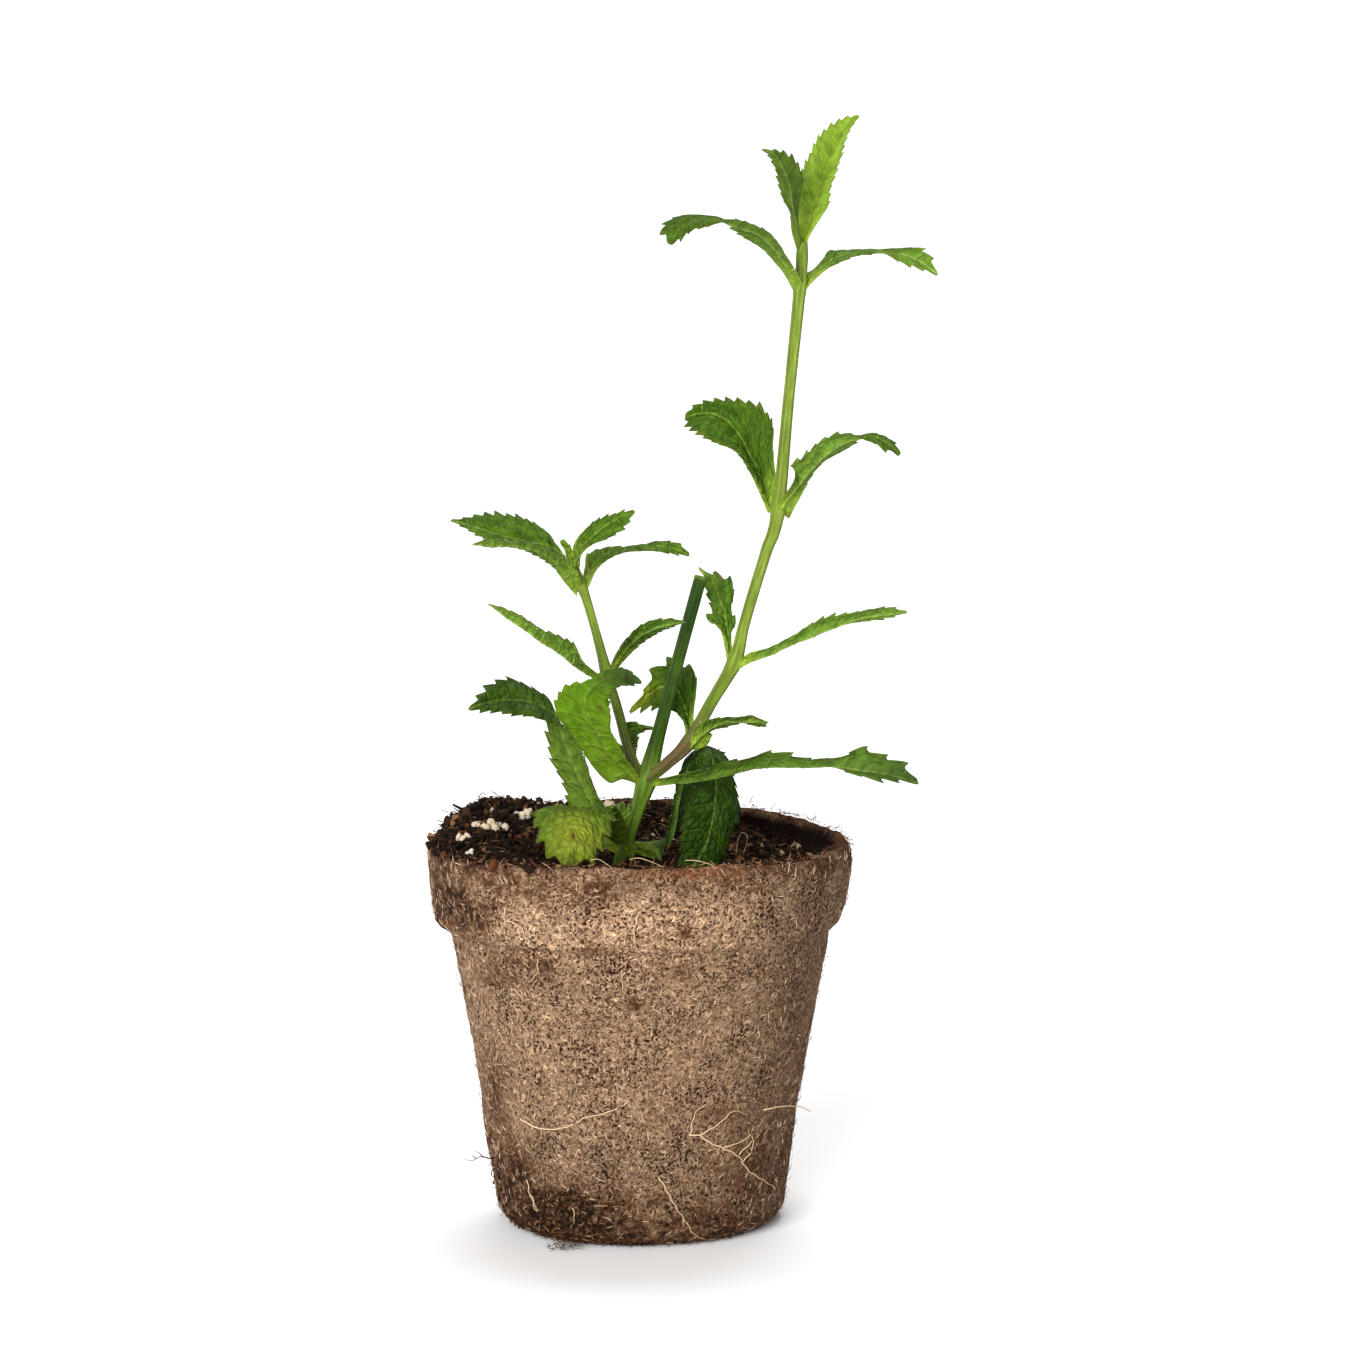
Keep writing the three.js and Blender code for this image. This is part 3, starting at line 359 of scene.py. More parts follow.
def new_material(name):
    """An empty material and its tree."""
    material = bpy.data.materials.new(name)
    material.use_nodes = True
    material.node_tree.nodes.clear()
    return material, material.node_tree


def body_place(tree):
    """The place on the piece, in metres."""
    return add(tree, "TexCoord", {}, out="Object")


def point_value(tree, name):
    """A number that is kept on the points."""
    return add(tree, "Attribute", {}, out=FACTOR, attribute_name=name)


def noise(tree, place, scale, detail, out=0, dimensions="3D", **more):
    """Noise with so many lumps in each unit of the place, and finer layers by detail."""
    return add(tree, "TexNoise", {"Vector": place, "Scale": scale, "Detail": detail, **more},
               out=out, noise_dimensions=dimensions)


def maths(tree, operation, *inputs, **settings):
    """One operation on numbers or outputs."""
    return add(tree, "Math", dict(enumerate(inputs)), operation=operation, **settings)


def ranged(tree, value, start, end, low=0.0, high=1.0, **settings):
    """The stretch from start to end carried over to the one from low to high, and held there."""
    return add(tree, "MapRange", {"Value": value, "From Min": start, "From Max": end,
                                  "To Min": low, "To Max": high}, **settings)


def mixed(tree, share, first, second, **settings):
    """The first colour turned into the second by this share. Either is hex or an output."""
    first, second = (linear(c) if isinstance(c, str) else c for c in (first, second))
    return add(tree, "Mix", {0: share, MIX_A: first, MIX_B: second}, out=MIX_COLOUR,
               data_type="RGBA", **settings)


def brightened(tree, colour, factor):
    """A colour times a number."""
    return add(tree, "VectorMath", {0: colour, "Scale": factor}, operation="SCALE")


def finish_skin(tree, colour, roughness, gloss, height=None, relief=0.0, strength=1.0, more=None):
    """The shader and the output. gloss is its specular level, a height output stands out by relief
    in millimetres, and more holds further inputs of the shader."""
    feeds = {"Base Color": colour, "Roughness": roughness, "Specular IOR Level": gloss}
    feeds.update(more or {})
    if height is not None:
        feeds["Normal"] = add(tree, "Bump", {"Height": height, "Distance": relief * MM,
                                             "Strength": strength})
    add(tree, "OutputMaterial", {"Surface": add(tree, "BsdfPrincipled", feeds)})


# %% [markdown]
# ## The pot's form
# The real pot is pressed from wet wood and peat fibre in a mould, so it is thick and soft: a wall
# of about 3 mm, a collar round the top, and a rim that sags a little at the left and right. It is a
# surface of revolution, so its section is carried round and then softened by the two rules of the
# CAD pot: the sag falls as the square of the angle's cosine, and the wobble is two slow waves. The
# collar and the foot also bulge a little at the left, and the collar is drawn in at the right.

# %% Pot measures
POT_TOP, RIM_RADIUS = 84, 45
RIM_SAG, SAG_START = 2.4, 50
WALL_WOBBLE, WOBBLE_TURN, FINE_WOBBLE = 0.35, 0.8, 0.6
LEFT_BULGE, COLLAR_START, COLLAR_FULL = 0.8, 62, 67
RIGHT_DRAWN_IN, DRAWN_AT, DRAWN_REACH = 0.9, 66.5, 4
FOOT_BULGE, FOOT_BULGE_AT, FOOT_BULGE_REACH = 0.8, 19, 7
# Radius and height, from the base's middle up the outside, over the rim and down the inside
POT_SECTION = np.array([
    (0, 0), (26.5, 0), (29.2, 0.9), (30.7, 3), (31.2, 6), (32.4, 16), (34, 27.5), (34.9, 32),
    (37.2, 45), (40.6, 63.4), (41, 65.2), (43.3, 66.2), (43.8, 68.2), (45, 80.6), (44.8, 82.8),
    (43.9, 83.9), (42.9, 84), (42.2, 83.2), (41.9, 81), (38.1, 62), (34.9, 45), (32.1, 30),
    (30.2, 15), (28.7, 6), (26.5, 3.2), (24, 2.6), (0, 2.6)])
OUTER_WALL, INNER_WALL = POT_SECTION[1:15], POT_SECTION[24:16:-1]
SLOT_RADIUS, SLOT_LENGTH, SLOT_WIDTH, SLOT_COUNT = 17, 9, 3, 4
SLOT_DEPTH, SLOT_EDGE = 2.3, 0.4


def softened(points):
    """The pressed wall's softness. Height falls by RIM_SAG cos^2 of the angle at the rim, and the
    radius gains WALL_WOBBLE (sin(3 a + WOBBLE_TURN) + FINE_WOBBLE sin 5 a) there. The bulges fade
    as the cosine's fourth power, and RIGHT_DRAWN_IN as its sixth and as a bell of the height."""
    x, y, z = np.moveaxis(np.asarray(points, float), -1, 0)
    angle, radius = np.arctan2(y, x), np.hypot(x, y)
    high = smooth(SAG_START, POT_TOP, z)
    wobble = np.sin(3 * angle + WOBBLE_TURN) + FINE_WOBBLE * np.sin(5 * angle)
    left, right = np.maximum(-np.cos(angle), 0), np.maximum(np.cos(angle), 0)
    gain = WALL_WOBBLE * high * wobble
    gain = gain + LEFT_BULGE * left**4 * smooth(COLLAR_START, COLLAR_FULL, z)
    gain = gain + FOOT_BULGE * left**4 * bell(z, FOOT_BULGE_AT, FOOT_BULGE_REACH)
    gain = gain - RIGHT_DRAWN_IN * right**6 * bell(z, DRAWN_AT, DRAWN_REACH)
    grow = np.where(radius > 1, (radius + gain) / np.maximum(radius, 1), 1)
    return np.stack([x * grow, y * grow, z - RIM_SAG * high * np.cos(angle) ** 2], -1)


def wall_radius(height, wall=OUTER_WALL):
    """The radius of the outer or the inner wall at a height, before it is softened."""
    return np.interp(height, wall[:, 1], wall[:, 0])


def rings_at(angle, radius, height):
    """Points at these angles in radians, radii and heights."""
    x, y = radius * np.cos(angle), radius * np.sin(angle)
    return np.stack([x, y, np.broadcast_to(height, x.shape)], -1)


def on_wall(angle, height, out=0.0):
    """Places on the pot's wall at angles in radians and heights, moved outwards by so much."""
    return softened(rings_at(angle, wall_radius(height) + out, height))


def front_angle(x, height):
    """The angle of the wall's front point that lies at x, seen straight from the front."""
    return -np.arccos(np.clip(np.asarray(x) / wall_radius(height), -1, 1))


def unsagged(points):
    """Each point's height as it would be on a rim that doesn't sag."""
    return points[:, 2] + RIM_SAG * (points[:, 0] / RIM_RADIUS) ** 2


# %% [markdown]
# The section is walked with steps that suit what is seen: fine outside and over the rim, coarse
# where the compost hides it. Corners are rounded by averaging each place with its neighbours. The
# felt's relief is layered noise of about a quarter of a millimetre, and stronger on the rim, which
# is torn and soft. The four drainage slots are pressed into the base as pits. Each relief below is
# its height and the size of its lumps, in millimetres.

# %% Pot surface
POINTS_ROUND = 400  # about 0.7 mm apart at the rim
CORNER_ROUNDING = 0.8  # mm of section averaged on each side of a place
WALL_STEP, RIM_STEP, INNER_STEP = 0.62, 0.4, 0.9
BASE_RINGS, INSIDE_RINGS = 26, 18
INNER_SHOWN = 14  # mm of inner wall that the compost may leave bare
(FELT, FELT_SIZE), (GRAIN, GRAIN_SIZE) = (0.16, 5), (0.13, 1.6)
(TORN_GRAIN, TORN_GRAIN_SIZE), (TORN, TORN_SIZE) = (0.3, 2.1), (0.32, 8)
TORN_REACH = 2.2  # mm of section on each side of the rim's top
section_steps = np.linalg.norm(np.diff(POT_SECTION, axis=0), axis=1)
section_reach = np.concatenate([[0], np.cumsum(section_steps)])
BASE_EDGE, COLLAR_TOP, RIM_TOP, INNER_TOP = section_reach[[1, 13, 16, 18]]
INNER_END = INNER_TOP + INNER_SHOWN


def section_walk():
    """Lengths along the section, and the rounded places there as radius and height."""
    walk = np.concatenate([
        np.linspace(1, BASE_EDGE, BASE_RINGS), np.arange(BASE_EDGE + 0.6, COLLAR_TOP, WALL_STEP),
        np.arange(COLLAR_TOP, INNER_TOP, RIM_STEP), np.arange(INNER_TOP, INNER_END, INNER_STEP),
        np.linspace(INNER_END, section_reach[-1] - 2, INSIDE_RINGS)])
    near = walk[:, None] + np.linspace(-CORNER_ROUNDING, CORNER_ROUNDING, 9)
    near = np.clip(near, 0, section_reach[-1])
    places = [np.interp(near, section_reach, POT_SECTION[:, i]).mean(1) for i in range(2)]
    return walk, np.stack(places, 1)


def within(distance, size):
    """1 inside a band this wide, 0 outside it, with a soft edge."""
    return 1 - smooth(size / 2 - SLOT_EDGE, size / 2 + SLOT_EDGE, np.abs(distance))


def slot_pits(points):
    """How far each point of the base is pressed in: 1 in a slot, 0 outside it."""
    pit = np.zeros(points.shape[:-1])
    for k in range(SLOT_COUNT):
        at = 2 * np.pi * (k + 0.5) / SLOT_COUNT
        out = points[..., 0] * np.cos(at) + points[..., 1] * np.sin(at) - SLOT_RADIUS
        across = points[..., 1] * np.cos(at) - points[..., 0] * np.sin(at)
        pit += within(out, SLOT_LENGTH) * within(across, SLOT_WIDTH)
    return pit


def pot_surface():
    """Points, faces, each point's length along the section, its angle and its slot share."""
    walk, section = section_walk()
    angle = np.pi / 2 + 2 * np.pi * np.arange(POINTS_ROUND) / POINTS_ROUND
    ring = np.stack([np.cos(angle), np.sin(angle)], -1)
    height = np.broadcast_to(section[:, None, 1:], (len(walk), POINTS_ROUND, 1))
    points = softened(np.concatenate([section[:, None, :1] * ring, height], -1))
    slope = unit(np.gradient(section, axis=0))[:, None]
    flat = np.broadcast_to(-slope[..., :1], (len(walk), POINTS_ROUND, 1))
    outward = np.concatenate([slope[..., 1:] * ring, flat], -1)
    shown = smooth(BASE_EDGE - 4, BASE_EDGE + 3, walk)
    shown = shown * (1 - smooth(INNER_END, INNER_END + 8, walk))
    torn = bell(walk, RIM_TOP, TORN_REACH)[:, None]
    relief = FELT * cloud(points, FELT_SIZE, 11) + GRAIN * lattice_noise(points, GRAIN_SIZE, 21)
    relief = relief + torn * (TORN_GRAIN * lattice_noise(points, TORN_GRAIN_SIZE, 31)
                              + TORN * cloud(points, TORN_SIZE, 33))
    points = points + outward * (relief * shown[:, None])[..., None]
    pit = slot_pits(points) * (walk < BASE_EDGE)[:, None]
    points[..., 2] = np.maximum(points[..., 2] + SLOT_DEPTH * pit, 0)
    rows = len(walk)
    flat_points = np.vstack([points.reshape(-1, 3), [0, 0, 0], [0, 0, POT_SECTION[-1, 1]]])
    walk = np.concatenate([np.repeat(walk, POINTS_ROUND), [0, section_reach[-1]]])
    turn = np.concatenate([np.tile(angle - np.pi / 2, rows), [0, 0]])
    pit = np.concatenate([pit.ravel(), [0, 0]])
    return flat_points, closed_faces(rows, POINTS_ROUND), walk, turn, pit


pot_points, pot_faces, pot_walk, pot_turn, pot_pit = pot_surface()
print("pot height", round(float(pot_points[:, 2].max()), 2), "mm")

# %% [markdown]
# ## Stains on the pot
# Wet compost has darkened the pot at the collar's left and round the foot, and the front of the rim
# is tinted orange. Each stain is a soft oval at a place measured on the front of the pot, broken up
# by noise, and the values are kept on the points for the material to read.

# %% Stains
# x, height, half width, half height and strength of each stain on the front
STAINS = [
    (-40, 74, 5, 9, 0.9), (-35.5, 71, 3.5, 3.5, 1.3), (-43, 67, 3, 6, 1.2), (-20, 5, 14, 8, 1.2),
    (-28, 11, 6, 10, 1), (-7, 2, 11, 6, 1.2), (14, 2, 13, 6, 0.8), (22, 16, 7, 3, 0.35),
    (9.5, 70.5, 1.5, 1.4, 0.9), (-1, 54, 1.6, 1.8, 0.6), (-19, 62, 2.2, 1.8, 0.55),
    (-30, 58, 5, 3, 0.35), (15, 30, 12, 3, 0.25), (27, 14, 9, 14, 0.5), (33, 40, 6, 26, 0.3),
    (-31, 30, 3, 9, 0.4), (-28, 79, 12, 4, 0.5), (-8, 80, 10, 3, 0.4), (20, 80, 14, 3, 0.3),
    (-24, 62, 7, 2.5, 0.4), (-10, 66, 5, 2, 0.3), (8, 61, 4, 2, 0.3), (-5, 8, 5, 5, 0.6),
    (3, 12, 3, 3, 0.3)]
STAIN_BREAKS = 0.75  # how strongly noise breaks a stain up
BACK_PATCH_SIZE, BACK_PATCHES = 22, 0.6
SMEARED_RIM, SMEAR_EDGE = 3.5, 2.5  # mm below the rim that compost has rubbed on
# How smeared the rim is at its front, and what its left, right and back add
SMEAR, SMEAR_LEFT, SMEAR_RIGHT, SMEAR_BACK = 0.22, 0.5, 0.4, 0.35
FOOT_DAMP = 13  # mm above the ground that is darkened all round
RUST_START, RUST_FULL = 81, 83.2  # heights
# Painted light and shade on the wall: how much the collar's front is brightened, and how much the
# right side and the lower wall are darkened
COLLAR_HIGHLIGHT, RIGHT_SHADE, FOOT_SHADE = 0.42, 0.2, 0.16


def stain(points):
    """How soiled each point is, from 0 to 1: soft ovals on the front, a damp foot, patches round
    the sides and back, and a smeared rim, all broken up by noise."""
    x, y, z = points.T
    total = np.zeros(len(points))
    for at, height, wide, high, strength in STAINS:
        near = np.exp(-(((x - at) / wide) ** 2) - ((z - height) / high) ** 2)
        total = np.maximum(total, strength * near * (y < 0))
    patches = smooth(0.5, 1.1, cloud(points, BACK_PATCH_SIZE, 43)) * smooth(-5, 12, y)
    foot = (1 - smooth(0, FOOT_DAMP, z)) * (0.5 + 0.35 * cloud(points, 12, 45))
    rim = smooth(POT_TOP - SMEARED_RIM - SMEAR_EDGE, POT_TOP - 1, unsagged(points))
    rim = rim * (SMEAR + SMEAR_LEFT * smooth(-15, -38, x) + SMEAR_RIGHT * smooth(25, 44, x)
                 + SMEAR_BACK * smooth(-8, 15, y))
    total = np.maximum.reduce([total, BACK_PATCHES * patches, foot, rim])
    return np.clip(total * (1 + STAIN_BREAKS * cloud(points, 3.2, 41)), 0, 1)


def rust(points):
    """The orange tint on the rim's front, strongest a little right of the middle."""
    x, y, _ = points.T
    place = bell(x, 12, 16) + 0.5 * bell(x, -41, 4)
    height = smooth(RUST_START, RUST_FULL, unsagged(points))
    return np.clip(place * height * (y < 0) * (0.75 + 0.6 * cloud(points, 3, 47)), 0, 1)


def painted_light_and_shade(points):
    """What the felt's colour is multiplied by, as painted light and shade: more on the collar's
    front, a painted highlight, and less at the right and low down, painted shade."""
    x, y, z = points.T
    collar = smooth(60, 66, z) * (1 - smooth(74, 82, z)) * (y < 0)
    collar = collar * np.exp(-(((x - 1) / 30) ** 4)) * (1 + 0.5 * cloud(points, 9, 49))
    return 1 + COLLAR_HIGHLIGHT * collar - RIGHT_SHADE * smooth(12, 36, x) - FOOT_SHADE * smooth(40, 0, z)


# %% [markdown]
# ## Pressed fibre
# Moulded wood and peat fibre is a felt: short pale and dark fibres a millimetre or two long and a
# fifth of a millimetre wide, lying every way, over a brown ground. It has no gloss at all. Four
# layers of noise, each stretched along its own direction on the unrolled wall, give the pale
# fibres, three more give the dark ones, and a slow bend of the coordinates curls them. Small
# pits lie between the fibres, painted dark as the shade in them, browner patches cloud the
# ground, and the dark specks are bits of bark. The numbers on the points then paint light and
# shade, brightening the collar's front and darkening the right side and the lower wall, lay rust
# and stains over the felt, and paint shade on the inside. Fibres this fine are also modelled
# further on, where they stand off the wall.

# %% Pressed fibre
WALL_RADIUS = 36  # mean radius, which unrolls the wall with little stretch
FIBRE_LENGTH, FIBRE_WIDTH = 1.6, 0.15  # mm
FIBRE_STEP = (3.7, 1.9)  # how far each layer is moved for each degree of its turn
CURL_SIZE, CURL = 3.0, 2.2  # mm between bends, and how far a fibre is carried aside
PALE_TURNS = (12, 58, 101, 149)  # degrees
DARK_TURNS = (35, 80, 125)
PALE_STRENGTH, DARK_STRENGTH, SPECK_STRENGTH = 0.8, 0.66, 0.75
SPECK_SIZE = 1.5  # mm between bark specks
CLOUD_SIZE, CLUMP_SIZE = 9, 1.7  # mm across the ground's light clouds and dark clumps
PATCH_SIZE, PATCH_SLICE = 9, 3.0  # mm across the browner patches, and which slice of noise
# The pits are painted dark as the shade in them
PIT_SIZE = 0.6  # mm across the dark pits between fibres
BREAK_SIZE = 1.3  # mm across the spots that break a stain up
FELT_HEIGHT = 0.16  # mm
# The inside of the wall is darkened as painted shade from INSIDE_STEP on
SLOT_STAIN, INSIDE_STEP = 0.95, 2.5  # and mm of section over which the inside darkens
# Which number on the points lays which colour over the felt, its range, and how strongly
OVERLAYS = (("rust", "a05520", 0, 1, 0.45), ("stain", "5a3820", 0, 0.5, 0.8),
            ("stain", "1d110a", 0.45, 1.1, 0.85))


def fibre_layers(tree, bent, turns):
    """Thin lines of noise in several directions, the strongest of them at each place."""
    level = 0.0
    for turn in turns:
        lie = add(tree, "Mapping", {
            "Vector": bent, "Location": (FIBRE_STEP[0] * turn, FIBRE_STEP[1] * turn, 0),
            "Rotation": (0, 0, np.radians(turn)), "Scale": (FIBRE_LENGTH, FIBRE_WIDTH, 1)},
            vector_type="TEXTURE")
        fibre = ranged(tree, noise(tree, lie, 1, 1.5, dimensions="2D"), 0.53, 0.68)
        level = maths(tree, "MAXIMUM", fibre, level)
    return level


def pressed_fibre():
    material, tree = new_material("pressed wood and peat fibre")
    wall = add(tree, "UVMap", {}, uv_map="wall")
    body = body_place(tree)
    bends = noise(tree, wall, 1 / CURL_SIZE, 1, out="Color", dimensions="2D")
    bent = add(tree, "VectorMath", {0: bends, 1: (CURL, CURL, 0), 2: wall},
               operation="MULTIPLY_ADD")
    pale, dark = (fibre_layers(tree, bent, turns) for turns in (PALE_TURNS, DARK_TURNS))
    cloudy = ranged(tree, noise(tree, body, 1 / (CLOUD_SIZE * MM), 3), 0.38, 0.66)
    clumpy = ranged(tree, noise(tree, body, 1 / (CLUMP_SIZE * MM), 2), 0.36, 0.62)
    patch = noise(tree, body, 1 / (PATCH_SIZE * MM), 5, dimensions="4D", W=PATCH_SLICE)
    brown = ranged(tree, patch, 0.5, 0.66, high=0.75)
    ground = mixed(tree, cloudy, "744a2c", "c69c74")
    ground = mixed(tree, clumpy, "6a4832", ground)
    ground = mixed(tree, brown, ground, "5c3319")
    pits = noise(tree, body, 1 / (PIT_SIZE * MM), 1)
    pit = ranged(tree, maths(tree, "MULTIPLY_ADD", patch, 0.55, pits), 0.87, 0.94)
    specks = add(tree, "TexVoronoi", {"Vector": bent, "Scale": 1 / SPECK_SIZE, "Randomness": 1},
                 voronoi_dimensions="2D")
    speck = maths(tree, "MULTIPLY", ranged(tree, specks, 0.26, 0.1), SPECK_STRENGTH)
    colour = mixed(tree, maths(tree, "MULTIPLY", pale, PALE_STRENGTH), ground, "e3c09c")
    colour = mixed(tree, maths(tree, "MULTIPLY", dark, DARK_STRENGTH), colour, "30190c")
    # Painted shade in the felt's small pits
    colour = mixed(tree, pit, colour, "30190c")
    colour = mixed(tree, speck, colour, "28170f")
    # Painted light and shade: the collar's front brightened, the right side and the lower wall
    # darkened
    colour = brightened(tree, colour, point_value(tree, "painted_light"))
    broken = ranged(tree, noise(tree, body, 1 / (BREAK_SIZE * MM), 4), 0.36, 0.62, 0.3, 1.5)
    for name, tint, start, end, strength in OVERLAYS:
        amount = point_value(tree, name)
        if name == "stain":
            amount = maths(tree, "MULTIPLY", amount, broken)
        colour = mixed(tree, ranged(tree, amount, start, end, high=strength), colour, tint)
    # Painted shade on the inside of the wall, below the rim
    colour = mixed(tree, point_value(tree, "inside"), colour, "3c2c20", blend_type="MULTIPLY")
    height = maths(tree, "SUBTRACT", maths(tree, "SUBTRACT", pale, dark), pit)
    finish_skin(tree, colour, 1.0, 0.1, height, FELT_HEIGHT)
    return material


mesh_piece("fibre_pot", pot_points, pot_faces, pressed_fibre(), "pressed_fibre", node="pot",
           values={"stain": np.maximum(stain(pot_points), SLOT_STAIN * pot_pit),
                   "rust": rust(pot_points), "painted_light": painted_light_and_shade(pot_points),
                   "inside": smooth(RIM_TOP, RIM_TOP + INSIDE_STEP, pot_walk)},
           uv={"wall": np.stack([pot_turn * WALL_RADIUS, pot_walk], 1)},
           period=2 * np.pi * WALL_RADIUS)

# %% [markdown]
# ## The compost
# Potting peat is a loose mass of dark crumbs, bark and fibres, heaped at the back left and sunk at
# the right, with white perlite in it. Its body is one height field over rings and spokes, with the
# same heap and slope as the CAD soil and crumbly noise on top, closed down the wall and under the
# pot's fill. Loose crumbs and fibres are scattered on it further on.

# %% Compost measures
SOIL_LEVEL, SOIL_HEAP, HEAP_AT, HEAP_REACH = 77, 11.5, (-38, 8), (20, 30)
BACK_RISE, BACK_REACH, RIGHT_DROP, RIGHT_REACH = 5, 40, 2.5, 35
SOIL_OVER_RIM, EDGE_RISE = 2.5, 1.6
CAD_RINGS = 15  # the edge rises by EDGE_RISE each fifteenth of the way in
EDGE_RADIUS = 40  # mm out from the middle, where the edge's height is read
SOIL_FLOOR, SOIL_FOOT = 2.9, 23.5
SOIL_ROUND, SOIL_RINGS, WALL_RINGS = 256, 104, (6.1, 15, 30, 45, 60)
# x, y and radius of the perlite lumps that stand out
PERLITE = np.array([
    (-33, -0.5, 3.4), (-29, 2.5, 2.6), (-25, 17, 3), (-37, -8, 2.6), (-7, 38, 2.6),
    (-36, -15, 1.8), (-31, 12, 1.2), (33.5, 23, 2), (30.5, 19, 1.5), (26.5, 22, 1),
    (37, 18, 1.2), (22.5, 12, 1)])


def heaped(x, y):
    """The heap's smooth height: level + heap as a bell + rise to the back - drop to the right."""
    heap = -(((x - HEAP_AT[0]) / HEAP_REACH[0]) ** 2) - ((y - HEAP_AT[1]) / HEAP_REACH[1]) ** 2
    height = SOIL_LEVEL + SOIL_HEAP * np.exp(heap) + BACK_RISE * smooth(0, BACK_REACH, y)
    return height - RIGHT_DROP * smooth(0, RIGHT_REACH, x)


def edge_height(angle):
    """The compost's height at the wall, held to SOIL_OVER_RIM above the rim."""
    height = heaped(EDGE_RADIUS * np.cos(angle), EDGE_RADIUS * np.sin(angle))
    return np.minimum(height, POT_TOP + SOIL_OVER_RIM)


def soil_height(x, y):
    """The compost's smooth height, held down near the wall."""
    edge = edge_height(np.arctan2(y, x))
    inwards = np.clip(1 - np.hypot(x, y) / wall_radius(edge, INNER_WALL), 0, 1)
    return np.minimum(heaped(x, y), edge + inwards * CAD_RINGS * EDGE_RISE)


def soil_surface():
    """Points and faces: floor, wall rings and crumbly top, from the floor's middle to the top's.
    The chunks on top are three sizes of noise, smaller where the compost meets the wall."""
    angle = 2 * np.pi * np.arange(SOIL_ROUND) / SOIL_ROUND
    rings = [rings_at(angle, SOIL_FOOT, SOIL_FLOOR)]
    rings += [rings_at(angle, wall_radius(height, INNER_WALL), height) for height in WALL_RINGS]
    radius = wall_radius(edge_height(angle), INNER_WALL)
    share = np.linspace(1, 0.01, SOIL_RINGS)[:, None]
    x, y = radius * np.cos(angle) * share, radius * np.sin(angle) * share
    top = np.stack([x, y, soil_height(x, y)], -1)
    chunks = 0.9 * cloud(top, 4.5, 51) + 0.5 * np.abs(cloud(top, 2.2, 53))
    chunks = chunks + 0.3 * lattice_noise(top, 1, 55)
    top[..., 2] += chunks * (0.3 + 0.7 * smooth(1, 0.93, share))
    points = softened(np.vstack([*rings, top.reshape(-1, 3)]))
    points = np.vstack([points, [0, 0, SOIL_FLOOR], points[-SOIL_ROUND:].mean(0)])
    return points, closed_faces(len(rings) + SOIL_RINGS, SOIL_ROUND)


# %% [markdown]
# ## Peat, perlite and bark
# Peat is near black and quite dull when damp, with redder bits of bark in it. Perlite is volcanic
# glass blown up like popcorn: white, matt and pitted. A number kept on the points of each loose
# bit, its tone, picks its own shade from a ramp, so that no two neighbours look alike.

# %% Compost materials
PEAT_CRUMB, PEAT_RELIEF = 1.1, 0.5  # mm


def peat():
    material, tree = new_material("damp peat")
    crumb = noise(tree, body_place(tree), 1 / (PEAT_CRUMB * MM), 3)
    # The ramp follows the crumbs' height: the peat's own dark and brown tones, with its hollows
    # darkest as painted shade
    colour = add(tree, "ValToRGB", {"Fac": crumb},
                 stops=((0.3, "060403"), (0.5, "160d08"), (0.62, "21140d"), (0.75, "361f13")))
    finish_skin(tree, colour, 0.95, 0.06, crumb, PEAT_RELIEF)
    return material


def loose_bits(name, stops, roughness, grain, height):
    """A matt material whose shade is picked by each bit's tone, with a grain in mm over it."""
    material, tree = new_material(name)
    colour = add(tree, "ValToRGB", {"Fac": point_value(tree, "tone")}, stops=stops)
    pits = noise(tree, body_place(tree), 1 / (grain * MM), 2)
    finish_skin(tree, colour, roughness, 0.08, pits, height)
    return material


loose_peat = loose_bits("loose peat and bark", ((0, "060403"), (0.45, "170e08"), (0.8, "341f12"),
                                                (0.93, "54301b"), (1, "7d6040")), 0.85, 0.5, 0.12)
peat_fibre = loose_bits("peat fibre", ((0, "1a1009"), (0.5, "3a2415"), (0.85, "6a4a2e"),
                                       (1, "a58660")), 0.9, 0.6, 0.03)
perlite_stone = loose_bits("expanded perlite", ((0, "85745a"), (0.3, "b8a78c"), (1, "d6cfc4")),
                           0.9, 0.45, 0.25)

soil_points, soil_faces = soil_surface()
mesh_piece("peat_fill", soil_points, soil_faces, peat(), "peat_compost", node="soil")

# %% [markdown]
# Crumbs are strewn over the compost at random places, more of them small than large, and some lie
# on the rim at the left, where the heap spills over. Fibres and bits of root lie flat or curl up.

# %% Loose crumbs
CRUMBS, CLODS, SPILLED = 5900, 60, 260  # on the compost, large ones on the heap, on the rim
CRUMB_SIZES, CLOD_SIZES = (0.2, 1.15), (0.7, 1.8)  # smallest and largest half size, in mm
CLODS_INWARDS, CLODS_SPREAD, CLODS_WITHIN = 8, (7, 12), 39
SPILLED_AT, SPILLED_SPREAD = 190, 22  # degrees round the rim
CRUMB_ROUGHNESS, KNOB_ROUGHNESS = 0.3, 0.15
random = np.random.default_rng(5)


def on_compost(x, y, lift=0.0):
    """Places on the compost, raised by so much."""
    return softened(np.stack([x, y, soil_height(x, y) + lift], -1))


def strewn(count, spread=1.0):
    """Random places on the compost, evenly spread over its area."""
    angle = random.uniform(0, 2 * np.pi, count)
    share = spread * np.sqrt(random.uniform(0, 1, count))
    radius = share * wall_radius(edge_height(angle), INNER_WALL)
    return on_compost(radius * np.cos(angle), radius * np.sin(angle))


def soft_heap(count):
    """Random places on the heap at the back left, thickest at its middle."""
    x = random.normal(HEAP_AT[0] + CLODS_INWARDS, CLODS_SPREAD[0], count)
    y = random.normal(HEAP_AT[1], CLODS_SPREAD[1], count)
    near = np.minimum(1, CLODS_WITHIN / np.hypot(x, y))
    return on_compost(x * near, y * near, 0.4)


